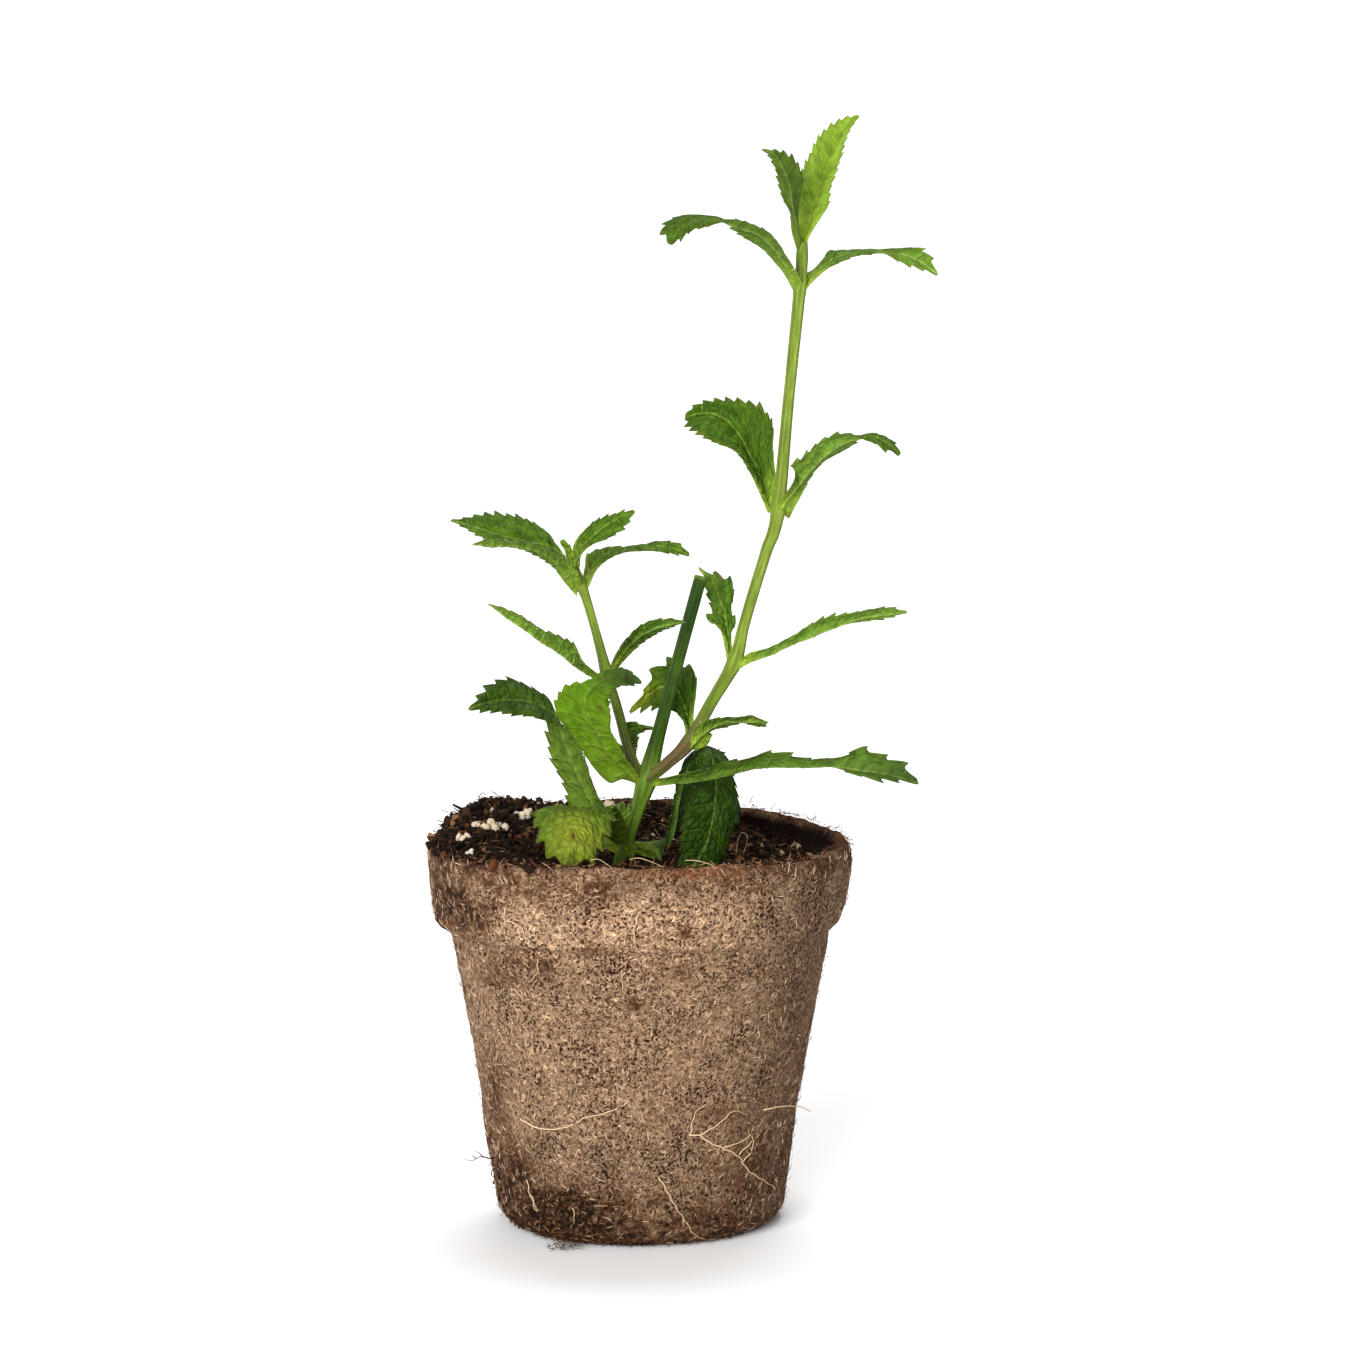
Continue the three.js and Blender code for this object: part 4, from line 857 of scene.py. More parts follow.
def crumb_sizes(count, low, high):
    """Three half sizes for each crumb: small ones are commoner, as the cube of a random share."""
    size = low + (high - low) * random.uniform(0, 1, (count, 1)) ** 3
    return size * random.uniform(0.5, 1.3, (count, 3))


def add_crumbs(name, centres, sizes, material, tones, roughness=CRUMB_ROUGHNESS):
    points, faces = crumbs(centres, sizes, roughness, random)
    mesh_piece(name, points, faces, material, "peat_compost",
               values={"tone": np.repeat(tones, len(BALL))})


places = strewn(CRUMBS)
places[:, 2] += random.uniform(-0.2, 0.9, CRUMBS)
spill_angle = np.radians(random.normal(SPILLED_AT, SPILLED_SPREAD, SPILLED))
spilled = on_wall(spill_angle, POT_TOP - 0.6, random.uniform(-3.2, 0.2, SPILLED))
spilled[:, 2] += random.uniform(0, 0.8, SPILLED)
places = np.vstack([places, spilled, soft_heap(CLODS)])
sizes = np.vstack([crumb_sizes(CRUMBS + SPILLED, *CRUMB_SIZES), crumb_sizes(CLODS, *CLOD_SIZES)])
add_crumbs("peat_crumbs", places, sizes, loose_peat, random.uniform(0, 1, len(places)) ** 1.5)

# %% Perlite
SMALL_PERLITE, SMALL_SIZES = 46, (0.25, 0.6)
KNOBS, KNOB_SPREAD = 7, 0.36  # knobs on each lump, as on popcorn
LEFT_SIZE, RIGHT_SIZE = 0.58, 0.5  # what each lump's radius is multiplied by
# Lumps at the right get a darker tone: they are dusty, and painted as lying in shade
SHADED_DUSTY_BEYOND, SHADED_DUSTY_TONE, CLEAN = 10, 0.1, 0.7  # x, and the tone beyond it and elsewhere
x, y, radius = PERLITE.T
centres = np.vstack([on_compost(x, y, 0.5), strewn(SMALL_PERLITE, 0.95) + (0, 0, 0.5)])
large = radius * np.where(x < 0, LEFT_SIZE, RIGHT_SIZE)
sizes = np.concatenate([large, random.uniform(*SMALL_SIZES, SMALL_PERLITE)])[:, None]
tones = np.where(centres[:, 0] > SHADED_DUSTY_BEYOND, SHADED_DUSTY_TONE, CLEAN) * random.uniform(0.4, 1, len(sizes))
wide = np.repeat(sizes, KNOBS, 0)
knob = np.repeat(centres, KNOBS, 0)
knob = knob + random.normal(0, KNOB_SPREAD, knob.shape) * wide * (1.2, 1.2, 0.6)
add_crumbs("perlite_lumps", knob, 0.75 * wide * random.uniform(0.5, 1.1, (len(knob), 3)),
           perlite_stone, np.repeat(tones, KNOBS), KNOB_ROUGHNESS)

# %% Loose fibres
PEAT_FIBRES, PEAT_FIBRE_LENGTH, PEAT_FIBRE_RADIUS = 3800, (0.8, 3.6), (0.05, 0.13)
places = strewn(PEAT_FIBRES)
lie = random.uniform(0, 2 * np.pi, PEAT_FIBRES)
lift = random.uniform(-0.1, 0.5, PEAT_FIBRES) ** 2 * 3
way = unit(np.stack([np.cos(lie), np.sin(lie), lift], -1))
bend = 0.5 * random.normal(size=way.shape) * (1, 1, 0.5)
points, faces = threads(places + (0, 0, 0.6), way, bend,
                        random.uniform(*PEAT_FIBRE_LENGTH, PEAT_FIBRES),
                        random.uniform(*PEAT_FIBRE_RADIUS, PEAT_FIBRES))
tones = random.uniform(0, 1, PEAT_FIBRES) ** 1.3
mesh_piece("peat_fibres", points, faces, peat_fibre, "peat_compost",
           values={"tone": np.repeat(tones, THREAD_POINTS)})

# %% [markdown]
# ## Stems
# A vervain's stem is square, with a shallow groove down each face and a ridge at each corner, and
# it swells where a pair of leaves sits. The main stem was pinched off, and two side shoots carry on
# from the node below the cut. Each stem is a section carried along a line that keeps within about
# a millimetre of the CAD stem's own. The section is a rounded square: the radius at an angle a from
# a face's middle is (|cos a|^n + |sin a|^n)^(-1/n), less a groove that is deepest there. path and
# half are places and half thicknesses along the stem, turn is in degrees, and nodes are heights.

# %% Stem measures
STEMS = {
    "main_stem": dict(
        path=[(-7, 1, 62), (-4.5, 0, 77), (-3.2, 0, 80.5), (-0.7, 0, 88.5), (1.4, 0, 95.5),
              (4.1, 0, 106), (8.3, 0, 122), (12.9, 0, 139)],
        half=[1.4, 1.35, 1.3, 1.4, 1.9, 1.35, 1.25, 1.25], turn=20, nodes=[95.5]),
    "left_shoot": dict(
        path=[(0.5, 0.5, 95), (-1.6, 2, 99), (-3, 3, 103), (-5.2, 4, 111), (-7, 4, 116.5),
              (-7.7, 4, 119.5), (-9.5, 4, 126.5), (-11.5, 4, 133.5), (-12.7, 3, 137),
              (-14.2, 2, 141), (-15.6, 1, 145)],
        half=[1.05, 1, 1, 1, 1.05, 1.1, 0.9, 0.95, 1.1, 0.85, 0.6], turn=15,
        nodes=[118, 137, 141.5]),
    "right_shoot": dict(
        path=[(1.5, -1, 95.5), (6, -3, 99.5), (10.3, -4, 104), (15.3, -5, 113), (20, -6, 121.5),
              (21.9, -6, 129), (24.2, -6, 137), (26.7, -5, 145), (29.1, -4, 153), (31.4, -2, 177),
              (33.8, 0, 201), (34.3, 0, 210)],
        half=[1.15, 1.15, 1.35, 1.2, 1.4, 1.15, 1.15, 1.2, 1.35, 1.15, 1.25, 1], turn=10,
        nodes=[104, 121.5, 153.5, 201, 207.5]),
}
STEM_SIDES, STEM_STEP = 40, 0.7
SQUARENESS, GROOVE = 3.3, 0.07
NODE_REACH, NODE_SWELLING = 1.8, 0.14  # mm along the stem, and share of its thickness


def stem_surface(path, half, turn, nodes):
    """Points, faces, the skin's map, closeness to a corner and to a leaf pair, and middle line."""
    place, direction, knot, length = curve_through(path)
    share = np.linspace(0, 1, int(length / STEM_STEP))
    middle, tangent = place(share), direction(share)
    side = unit(np.array([1.0, 0, 0]) - tangent * tangent[:, :1])
    back = np.cross(tangent, side)
    around = np.arange(STEM_SIDES) / STEM_SIDES
    angle = 2 * np.pi * around
    radius = (np.abs(np.cos(angle)) ** SQUARENESS + np.abs(np.sin(angle)) ** SQUARENESS) ** (
        -1 / SQUARENESS)
    radius = radius - GROOVE * np.maximum(np.cos(4 * angle), 0) ** 2
    near_node = sum(bell(middle[:, 2], z, NODE_REACH) for z in nodes)
    size = along(half, knot(share)) * (1 + NODE_SWELLING * near_node)
    a = np.cos(angle + np.radians(turn)) * radius * size[:, None]
    b = np.sin(angle + np.radians(turn)) * radius * size[:, None]
    points = middle[:, None] + side[:, None] * a[..., None] + back[:, None] * b[..., None]
    flat = np.vstack([points.reshape(-1, 3), middle[0], middle[-1]])
    rows = len(share)

    def spread(values, ends=(0, 0)):
        return np.concatenate([np.broadcast_to(values, (rows, STEM_SIDES)).ravel(), ends])

    uv = np.stack([spread(around), spread((share * length)[:, None], (0, length))], 1)
    corner = spread(np.maximum(-np.cos(4 * angle), 0))
    return flat, closed_faces(rows, STEM_SIDES), uv, corner, spread(near_node[:, None]), middle


# %% [markdown]
# ## Green stem skin
# A young stem is a waxy green skin over pale tissue: smooth, faintly glossy, streaked lengthwise,
# with its ridges darker or browner than its faces. The streaks are noise drawn out along the
# stem's own map. A number on the points turns the skin from deep green to yellow green, and
# another adds the purple-brown that light brings out low on the right shoot.

# %% Stem materials
STREAKS_ROUND, STREAK_LENGTH = 8, 9  # streaks round the stem, and mm along it
STREAK_SCALE, MOTTLE_SIZE = 1.6, 6  # and mm across the paler and darker patches
RIDGE_STRENGTH, STREAK_RELIEF = 0.7, 0.06
STEM_GLOW = {"Subsurface Weight": 0.12, "Subsurface Radius": (1.2 * MM, 1.6 * MM, 0.4 * MM),
             "Subsurface Scale": 1.0}


def stem_skin(name, deep, fresh, ridge, stain_tint):
    material, tree = new_material(name)
    skin = add(tree, "UVMap", {}, uv_map="skin")
    drawn = add(tree, "Mapping", {"Vector": skin, "Scale": (STREAKS_ROUND, 1 / STREAK_LENGTH, 1)})
    streak = noise(tree, drawn, STREAK_SCALE, 3, dimensions="2D")
    patch = noise(tree, body_place(tree), 1 / (MOTTLE_SIZE * MM), 2)
    colour = mixed(tree, point_value(tree, "fresh"), deep, fresh)
    colour = brightened(tree, colour, ranged(tree, streak, 0.35, 0.65, 0.78, 1.16))
    colour = brightened(tree, colour, ranged(tree, patch, 0.35, 0.65, 0.88, 1.1))
    edge = maths(tree, "MULTIPLY", point_value(tree, "ridge"), RIDGE_STRENGTH)
    colour = mixed(tree, edge, colour, ridge)
    colour = mixed(tree, point_value(tree, "brown"), colour, stain_tint)
    finish_skin(tree, colour, 0.48, 0.1, streak, STREAK_RELIEF, 0.8, STEM_GLOW)
    return material


main_skin = stem_skin("ripening green stem", "1c3607", "567020", "142606", "4a3a22")
shoot_skin = stem_skin("young green stem", "3b5b12", "6c7f2a", "3f4a16", "57422e")

# %% Stems
# How fresh each stem is, and what is added from one height to another
STEM_FRESH = {"main_stem": (0.25, (-0.2, 120, 139), (0.75, 104, 96)),
              "left_shoot": (0.65, (0.3, 112, 135)),
              "right_shoot": (0.45, (0.55, 108, 122), (-0.35, 190, 210))}
# How brown a stem's foot is, and the heights that this fades between
STEM_BROWN = {"main_stem": (0.12, 86, 80), "left_shoot": (0.45, 112, 98)}
RIGHT_BROWN, RIGHT_BROWN_AT, RIGHT_BROWN_REACH = 0.8, 100, 8
CUT_HEIGHT = 138.6  # above it lies the main stem's pale cut
SKIN_MOTTLE, MOST_BROWN = 0.12, 0.9


def stem_values(name, points):
    """How yellow-green and how brown the skin is at each point of a stem."""
    z = points[:, 2]
    fresh, *changes = STEM_FRESH[name]
    for amount, start, end in changes:
        fresh = fresh + amount * smooth(start, end, z)
    if name == "main_stem":
        fresh = np.where(z > CUT_HEIGHT, 1.0, fresh)
    if name in STEM_BROWN:
        amount, start, end = STEM_BROWN[name]
        brown = amount * smooth(start, end, z)
    else:
        brown = RIGHT_BROWN * bell(z, RIGHT_BROWN_AT, RIGHT_BROWN_REACH)
    grain = SKIN_MOTTLE * cloud(points, 4, 61)
    return {"fresh": np.clip(fresh + grain, 0, 1),
            "brown": np.clip(brown * (1 + 4 * grain), 0, MOST_BROWN)}


stem_middles = {}
for name, stem in STEMS.items():
    points, faces, uv, corner, near_node, stem_middles[name] = stem_surface(**stem)
    values = stem_values(name, points)
    values["ridge"] = smooth(0.55, 1, corner) * (1 - 0.7 * near_node)
    skin, slot = (main_skin, "main_stem") if name == "main_stem" else (shoot_skin, "side_shoot")
    mesh_piece(name + "_skin", points, faces, skin, slot, node=name, values=values,
               uv={"skin": uv}, period=1)

# %% [markdown]
# ## Leaves
# A vervain's leaves sit in pairs, each pair crosswise to the last. A leaf is long, toothed and
# narrowed to a foot that clasps the stem, dull and wrinkled above, with a net of sunken veins, and
# paler below, where the same veins stand out. Flat cards with cut-out pictures would be light, but
# they have no thickness and curl badly, so each blade here is a thin closed skin.
#
# Each leaf hangs on three lines that a maker would bend from wire: its midrib and its two margins,
# all from the stem to the tip, in millimetres. The margins' own last point, the midrib's tip, isn't
# written again. Left and right are those of someone who walks out along the leaf's upper face. The
# CAD leaves are drawn between the same lines, or ones within about a millimetre of them. Besides
# the lines a leaf has the length of a tooth in mm, how fresh its green is together with its painted
# shade (shade), the painted light and shade that brighten or darken the whole leaf (light), how
# strongly its veins show, how much it is quilted and toothed, and marks: a kind, the place along
# and across as shares, the size in mm and the strength.

# %% Leaf lines
LEAVES = {
    "leaf_low_front": dict(
        rib=[(-3.5, -1.5, 82), (-7.5, -7.5, 86.5), (-11, -13, 90), (-13, -21, 92.5),
            (-13.5, -28, 90), (-14, -32, 86), (-14.5, -33, 82.5)],
        left=[(-2.5, 0, 83), (-3.5, -3, 87), (-5, -9, 91), (-5.5, -17, 92), (-5, -23, 90.5),
            (-6.5, -27.5, 87.5), (-8, -30.5, 84.5), (-10.5, -32, 82.5)],
        right=[(-5, -3, 81.5), (-9, -9, 86), (-15, -14, 90.5), (-19.5, -18, 91.5),
            (-23, -22.5, 91.5), (-22, -26.5, 89), (-20.5, -29.5, 85.5), (-18, -31.5, 83)],
        tooth=3.6, shade=0.45, light=0.65, veining=0.9, quilt=0.7,
        marks=[("yellow", 0.8, 0.1, 6, 0.6), ("brown", 0.84, 0, 0.9, 1),
               ("brown", 1, 0, 2.2, 0.6)]),
    "leaf_low_inner": dict(
        rib=[(-2, 0.5, 82.5), (-3, -0.5, 84.5), (-4.5, -1.5, 87.5), (-4.5, -2, 90.5)],
        left=[(-1.5, 1, 83.5), (-2, 0.5, 86), (-2, -1, 88.5), (-3, -2, 90.5)],
        right=[(-2, 0, 81.5), (-5.5, 0, 81.5), (-7.5, -0.5, 85), (-6.5, -1.5, 89)],
        tooth=2.2, shade=0.2),
    "leaf_low_left": dict(
        rib=[(-3.5, 1, 80.5), (-8, 3, 86), (-11, 3.5, 91), (-13, 4, 95), (-14.5, 4.5, 99),
            (-16, 5, 102.5), (-17.5, 6, 106.5), (-20, 7, 109), (-23.5, 8, 110.5),
            (-28.5, 8.5, 111), (-33.5, 7, 110.5), (-37, 6, 109.5)],
        left=[(-2.5, 0.5, 81.5), (-5, 1.5, 83.5), (-7, 1.5, 88), (-9, 0.5, 91.5), (-10.5, 0, 96),
            (-12, 0, 100), (-13.5, 0.5, 104), (-16, 1.5, 106.5), (-19.5, 2, 107),
            (-24.5, 3, 108.5), (-30, 4, 109), (-33.5, 5, 109)],
        right=[(-5, 3, 78), (-10.5, 6, 81.5), (-15, 7, 88), (-17, 8, 93), (-19, 8.5, 97.5),
            (-20, 9, 102), (-20.5, 10, 107), (-20, 11, 111), (-24, 12, 114), (-28.5, 12, 115.5),
            (-32.5, 10, 114.5), (-35, 7.5, 112)],
        tooth=2.6, shade=0.14, light=0.68, quilt=1.1,
        marks=[("foot", 0.3, 0, 13, 0.42)]),
    "leaf_low_right": dict(
        rib=[(-3, -1, 81), (1, -3, 80.5), (4.5, -4, 81), (7, -2.5, 84.5), (8, 0.5, 90),
            (9.5, 3, 95.5), (11, 3.5, 99.5), (13, 1.5, 102), (14.5, -2, 102), (15.5, -4.5, 99.5),
            (16, -6.5, 95), (15.5, -7.5, 89), (13.5, -8.5, 82), (10, -9, 76.5)],
        left=[(-2.5, 1, 82), (1.5, 1, 81.5), (6, 1.5, 82.5), (9, 3.5, 85), (11, 5, 88.5),
            (13, 6, 93.5), (14.5, 6, 97), (16, 4, 100.5), (18, 0.5, 100.5), (19.5, -2, 98),
            (20.5, -4, 95), (21, -4.5, 91.5), (21, -5.5, 88.5), (19.5, -6.5, 83.5),
            (17.5, -7.5, 79), (14, -8.5, 77)],
        right=[(-2.5, -2.5, 80.5), (1, -5, 79.5), (4, -6, 79.5), (5.5, -5, 83), (6.5, -2, 88),
            (7.5, 1, 93.5), (9, 2, 98), (11, -0.5, 100.5), (12, -4, 99.5), (11.5, -6, 96.5),
            (10.5, -8, 92.5), (8.5, -9, 86), (8, -9.5, 80), (8.5, -9.5, 77.5)],
        tooth=2.6, shade=0.05, light=0.62, quilt=1.3),
    "leaf_top_left": dict(
        rib=[(0, -0.5, 94.5), (-3.5, -3, 98.5), (-6.5, -6, 102), (-8.5, -9, 106.5),
            (-10.5, -12, 110.5), (-11.5, -14, 114.5), (-10, -15.5, 117.5), (-7.5, -15, 119),
            (-3.5, -14, 119.5), (0.5, -13, 118)],
        left=[(0, -2, 96), (-2, -6, 99.5), (-4, -9.5, 103.5), (-6, -11.5, 107.5), (-6, -13, 111),
            (-6.5, -14.5, 114.5), (-5.5, -15, 116.5), (-4, -14.5, 117.5), (-2, -14, 117.5)],
        right=[(-1.5, 0.5, 94.5), (-4, -1, 95.5), (-6.5, -2.5, 95), (-9.5, -4, 98),
            (-12.5, -6.5, 102.5), (-15.5, -9, 108), (-18, -11, 111.5), (-17.5, -13, 115.5),
            (-15, -14.5, 118), (-11, -15, 119), (-7.5, -14.5, 121), (-3.5, -14, 121.5),
            (-1, -13.5, 120)],
        tooth=2, shade=0.5, light=0.76, veining=0.4, quilt=0.35, toothed=0.45,
        marks=[("foot", 0.22, 0, 5, 0.5), ("foot", 0.42, 0.1, 4, 0.4), ("tip_shade_and_sheen", 0.92, 0, 7, 0.85),
               ("brown", 0.62, 0.6, 0.8, 0.8), ("brown", 0.2, -0.5, 0.9, 0.6)]),
    "leaf_top_right": dict(
        rib=[(2.5, -1, 94.5), (7, -7, 96), (12.5, -13, 97.5), (17.5, -17, 99), (22.5, -21, 101),
            (27.5, -24, 102), (33.5, -27, 102.5), (39.5, -29.5, 103), (45.5, -31.5, 102.5),
            (51, -33.5, 102), (58, -35, 100)],
        left=[(3, 0.5, 94), (7.5, -5, 96), (12.5, -10, 98), (18, -13.5, 100), (23, -17, 101.5),
            (28, -19.5, 103), (33.5, -22, 102.5), (40, -25, 102.5), (44, -27.5, 101),
            (48.5, -30, 100), (53.5, -33, 100.5)],
        right=[(3, -3, 96), (7, -9, 97.5), (11.5, -15, 99.5), (17.5, -21, 102.5),
            (22.5, -25, 104), (27, -28, 106), (33, -30, 105), (38.5, -31.5, 105),
            (42.5, -32.5, 105.5), (46.5, -34, 108), (50.5, -35, 106.5), (55, -36, 104.5)],
        tooth=4, shade=0.3, light=0.8,
        marks=[("tip_shade_and_sheen", 0.96, 0, 8, 0.6)]),
    "leaf_left_first": dict(
        rib=[(0, 0.5, 95.5), (-1, 3, 98), (-2, 4.5, 101.5), (-2.5, 5.5, 104.5), (-0.5, 6, 105.5),
            (3, 5.5, 105.5)],
        left=[(-0.5, 0, 95), (-2.5, 1.5, 98), (-4, 3, 101.5), (-4.5, 4.5, 105.5), (-4, 6, 107.5),
            (-0.5, 6.5, 106.5)],
        right=[(0.5, 0.5, 96), (-1, 2.5, 98.5), (-0.5, 3.5, 102), (0, 4, 104.5), (1.5, 5, 105)],
        tooth=2.6, shade=0.25),
    "leaf_left_2a": dict(
        rib=[(-8.5, 3, 116.5), (-13, -3, 120), (-17.5, -7, 124), (-21.5, -10, 127),
            (-26.5, -12.5, 131), (-32, -14, 135)],
        left=[(-8.5, 1.5, 117.5), (-12, -5, 121.5), (-14, -9, 126), (-17.5, -12, 128.5),
            (-21.5, -14, 130), (-25, -15.5, 133), (-28.5, -15.5, 134.5)],
        right=[(-9, 4, 117), (-13, 0, 120.5), (-16.5, -4, 124), (-20.5, -7.5, 127),
            (-25, -10.5, 130), (-29, -13, 133)],
        tooth=2.4, shade=0.5),
    "leaf_left_2b": dict(
        rib=[(-6, 3.5, 119), (-4, 1, 122.5), (-1.5, -2.5, 125.5), (1.5, -5.5, 128),
            (5, -8, 129.5), (9.5, -9, 130.5)],
        left=[(-5, 5, 118.5), (-3, 3, 121), (-0.5, 1, 123.5), (2, -1.5, 126), (4.5, -5, 128),
            (7, -7.5, 129)],
        right=[(-6.5, 2.5, 119), (-5, -1.5, 122.5), (-3, -5.5, 126.5), (0, -8, 129.5),
            (3, -10, 131), (6.5, -10.5, 131.5)],
        tooth=2.2, shade=0.25),
    "leaf_left_3a": dict(
        rib=[(-13.5, 2, 139.5), (-16.5, 4.5, 143), (-19.5, 7.5, 144.5), (-24.5, 10.5, 145),
            (-30, 13, 146), (-35.5, 15.5, 147.5), (-41, 17, 149)],
        left=[(-14.5, 1.5, 138.5), (-17, 3, 141.5), (-20.5, 4.5, 143), (-25.5, 7, 144),
            (-30, 10, 145), (-34.5, 13, 146), (-38, 15.5, 147.5)],
        right=[(-13.5, 4, 140.5), (-15.5, 6, 142), (-18, 7.5, 143.5), (-19, 9.5, 146.5),
            (-22, 13, 148.5), (-27, 16, 150.5), (-32.5, 18, 150.5), (-37.5, 18.5, 149.5)],
        tooth=2.2, shade=0.28),
    "leaf_left_3b": dict(
        rib=[(-13.5, 2.5, 136), (-15.5, -1, 139.5), (-18, -4.5, 143), (-20.5, -8, 145),
            (-25, -12, 147), (-30, -15.5, 147.5), (-35, -18, 148)],
        left=[(-12.5, 0, 138), (-14, -4, 141.5), (-16.5, -8, 144.5), (-20, -12, 146.5),
            (-24, -15.5, 148.5), (-29, -18, 149), (-32.5, -18.5, 149)],
        right=[(-13.5, 4.5, 134), (-16, 2, 137.5), (-18, -1, 140.5), (-20, -4, 142.5),
            (-23, -8, 145), (-26.5, -11.5, 146.5), (-31, -15, 147)],
        tooth=2.4, shade=0.5),
    "leaf_left_3c": dict(
        rib=[(-13.5, 1.5, 141), (-13, -2, 144.5), (-11, -4.5, 147), (-8.5, -6.5, 149.5),
            (-5, -8, 152), (-1, -9, 154)],
        left=[(-14, 3, 141.5), (-14, 1, 145.5), (-12.5, -1, 148.5), (-9.5, -3.5, 151.5),
            (-6, -6, 153), (-3.5, -8, 154)],
        right=[(-13, 0.5, 140.5), (-12.5, -4, 144), (-10, -7.5, 146.5), (-7, -9.5, 148),
            (-4, -10.5, 150), (-2, -10.5, 152)],
        tooth=2, shade=0.35),
    "leaf_left_3d": dict(
        rib=[(-12, 3.5, 136), (-11, 6, 139), (-8.5, 9, 142), (-5, 12, 143), (-1, 14, 143),
            (3, 14.5, 143.5), (6.5, 15, 143), (10.5, 15, 141.5)],
        left=[(-12.5, 4.5, 136.5), (-12, 8, 140), (-11.5, 11, 142.5), (-7.5, 13.5, 143.5),
            (-3.5, 15, 143.5), (0.5, 16.5, 144), (4.5, 17, 144.5), (8.5, 16.5, 144)],
        right=[(-11, 2, 136.5), (-9.5, 4, 139.5), (-7, 6.5, 141.5), (-3.5, 9.5, 143),
            (0.5, 12, 143), (4, 13, 142.5), (7.5, 14, 142)],
        tooth=2.4, shade=0.45),
    "leaf_right_1a": dict(
        rib=[(10.5, -3.5, 102.5), (10.5, 2, 106.5), (9.5, 5, 110), (8, 7.5, 113.5), (5, 9, 114),
            (1, 10, 111.5), (-2.5, 10, 108.5)],
        left=[(9.5, -4, 103), (9.5, 0, 106.5), (7.5, 3.5, 109), (4.5, 6.5, 109.5), (1, 8.5, 109)],
        right=[(11.5, -4, 104), (11.5, 1, 108), (12, 4.5, 113), (11.5, 7.5, 118), (7.5, 9, 120),
            (3, 10, 118), (1, 10, 113.5)],
        tooth=3.6, shade=0.15,
        marks=[("yellow", 1, 0, 6, 0.6)]),
    "leaf_right_1b": dict(
        rib=[(10.5, -4.5, 103), (12.5, -6.5, 105.5), (15, -9.5, 108), (17.5, -12, 109.5),
            (20.5, -14.5, 110), (23.5, -17, 110.5), (26.5, -18, 110)],
        left=[(12, -3.5, 102), (14.5, -5.5, 104), (15.5, -8, 107), (18.5, -10, 108),
            (21.5, -12.5, 109.5), (24.5, -15, 109), (26, -16.5, 109)],
        right=[(10.5, -5.5, 104.5), (12, -9, 108), (14, -12, 110), (17.5, -15, 111),
            (20.5, -17, 111), (23.5, -19, 112), (26, -19, 111)],
        tooth=2.4, shade=0.35),
    "leaf_right_2a": dict(
        rib=[(19.5, -5.5, 121), (19, -2.5, 124.5), (18.5, 0, 127.5), (18, 2, 130), (17, 4, 133),
            (16, 6, 135.5), (15, 7.5, 137.5), (12.5, 8, 140)],
        left=[(18.5, -6, 121), (18, -4, 124), (17, -1.5, 127.5), (15.5, -0.5, 129),
            (14, 0.5, 130), (15, 2.5, 132), (14, 5, 134), (13.5, 7, 136.5), (13.5, 8, 138)],
        right=[(20, -5, 121.5), (19.5, -3, 124.5), (19.5, 0, 127.5), (20.5, 1.5, 129.5),
            (19.5, 3.5, 132), (20, 5.5, 134), (20, 7.5, 136.5), (18, 9, 138), (14.5, 9, 138.5)],
        tooth=2.6, shade=0.4,
        marks=[("brown", 0.78, -0.95, 1, 1)]),
    "leaf_right_2b": dict(
        rib=[(20.5, -6.5, 120.5), (23.5, -9, 122.5), (27, -11.5, 124), (31.5, -14, 126.5),
            (36, -16.5, 128.5), (40.5, -18.5, 130.5), (45.5, -20, 132.5), (50.5, -21, 133.5),
            (56, -21, 134)],
        left=[(21.5, -5.5, 120.5), (24, -7.5, 123), (28.5, -9.5, 125), (33, -12, 127.5),
            (37, -14.5, 129.5), (41, -16.5, 130.5), (45, -18.5, 131.5), (48.5, -19.5, 132),
            (52.5, -20.5, 133)],
        right=[(20.5, -7.5, 121.5), (23, -10, 124), (27, -12.5, 125.5), (31.5, -15.5, 128),
            (35, -18, 131), (38.5, -20, 133), (43, -21.5, 134), (47.5, -22.5, 135),
            (52.5, -23, 135.5)],
        tooth=2.6, shade=0.4),
    "leaf_right_3a": dict(
        rib=[(28, -3.5, 153.5), (26.5, 0, 157), (25, 3, 161), (23, 5.5, 165), (21, 8, 168.5),
            (18, 10.5, 171.5), (14, 12, 172.5), (9.5, 13, 171.5)],
        left=[(27, -4, 153), (25.5, -2.5, 156.5), (24, -0.5, 160), (22, 2, 163), (19.5, 4, 165.5),
            (15.5, 6.5, 167), (12, 9, 168.5), (10, 11, 170)],
        right=[(29, -4.5, 154), (29, -3, 157.5), (28.5, -1, 162), (28.5, 1, 166.5),
            (28.5, 3, 170), (27, 6, 173.5), (24, 8.5, 175.5), (19.5, 10.5, 176),
            (14.5, 12, 175.5), (11, 13, 174)],
        tooth=2, shade=0.24, light=0.95, quilt=1.1),
    "leaf_right_3b": dict(
        rib=[(29.5, -4.5, 153.5), (31, -7, 156.5), (33.5, -10, 160), (36.5, -13, 164),
            (39.5, -15.5, 167), (43, -17.5, 169.5), (46.5, -19, 170.5), (49.5, -20.5, 170.5),
            (52, -21.5, 169), (54, -22, 167)],
        left=[(31.5, -3, 151.5), (33, -5, 155), (35.5, -7.5, 160), (39, -10, 164.5),
            (43, -12.5, 167.5), (45.5, -15, 169), (47.5, -17, 171), (50.5, -18.5, 171),
            (53, -20, 170), (54, -21.5, 168.5)],
        right=[(29, -5.5, 154.5), (31, -9.5, 158), (32.5, -12, 160.5), (32.5, -13, 163),
            (31.5, -13.5, 164.5), (33.5, -15, 166), (35, -16, 167.5), (36.5, -17, 169),
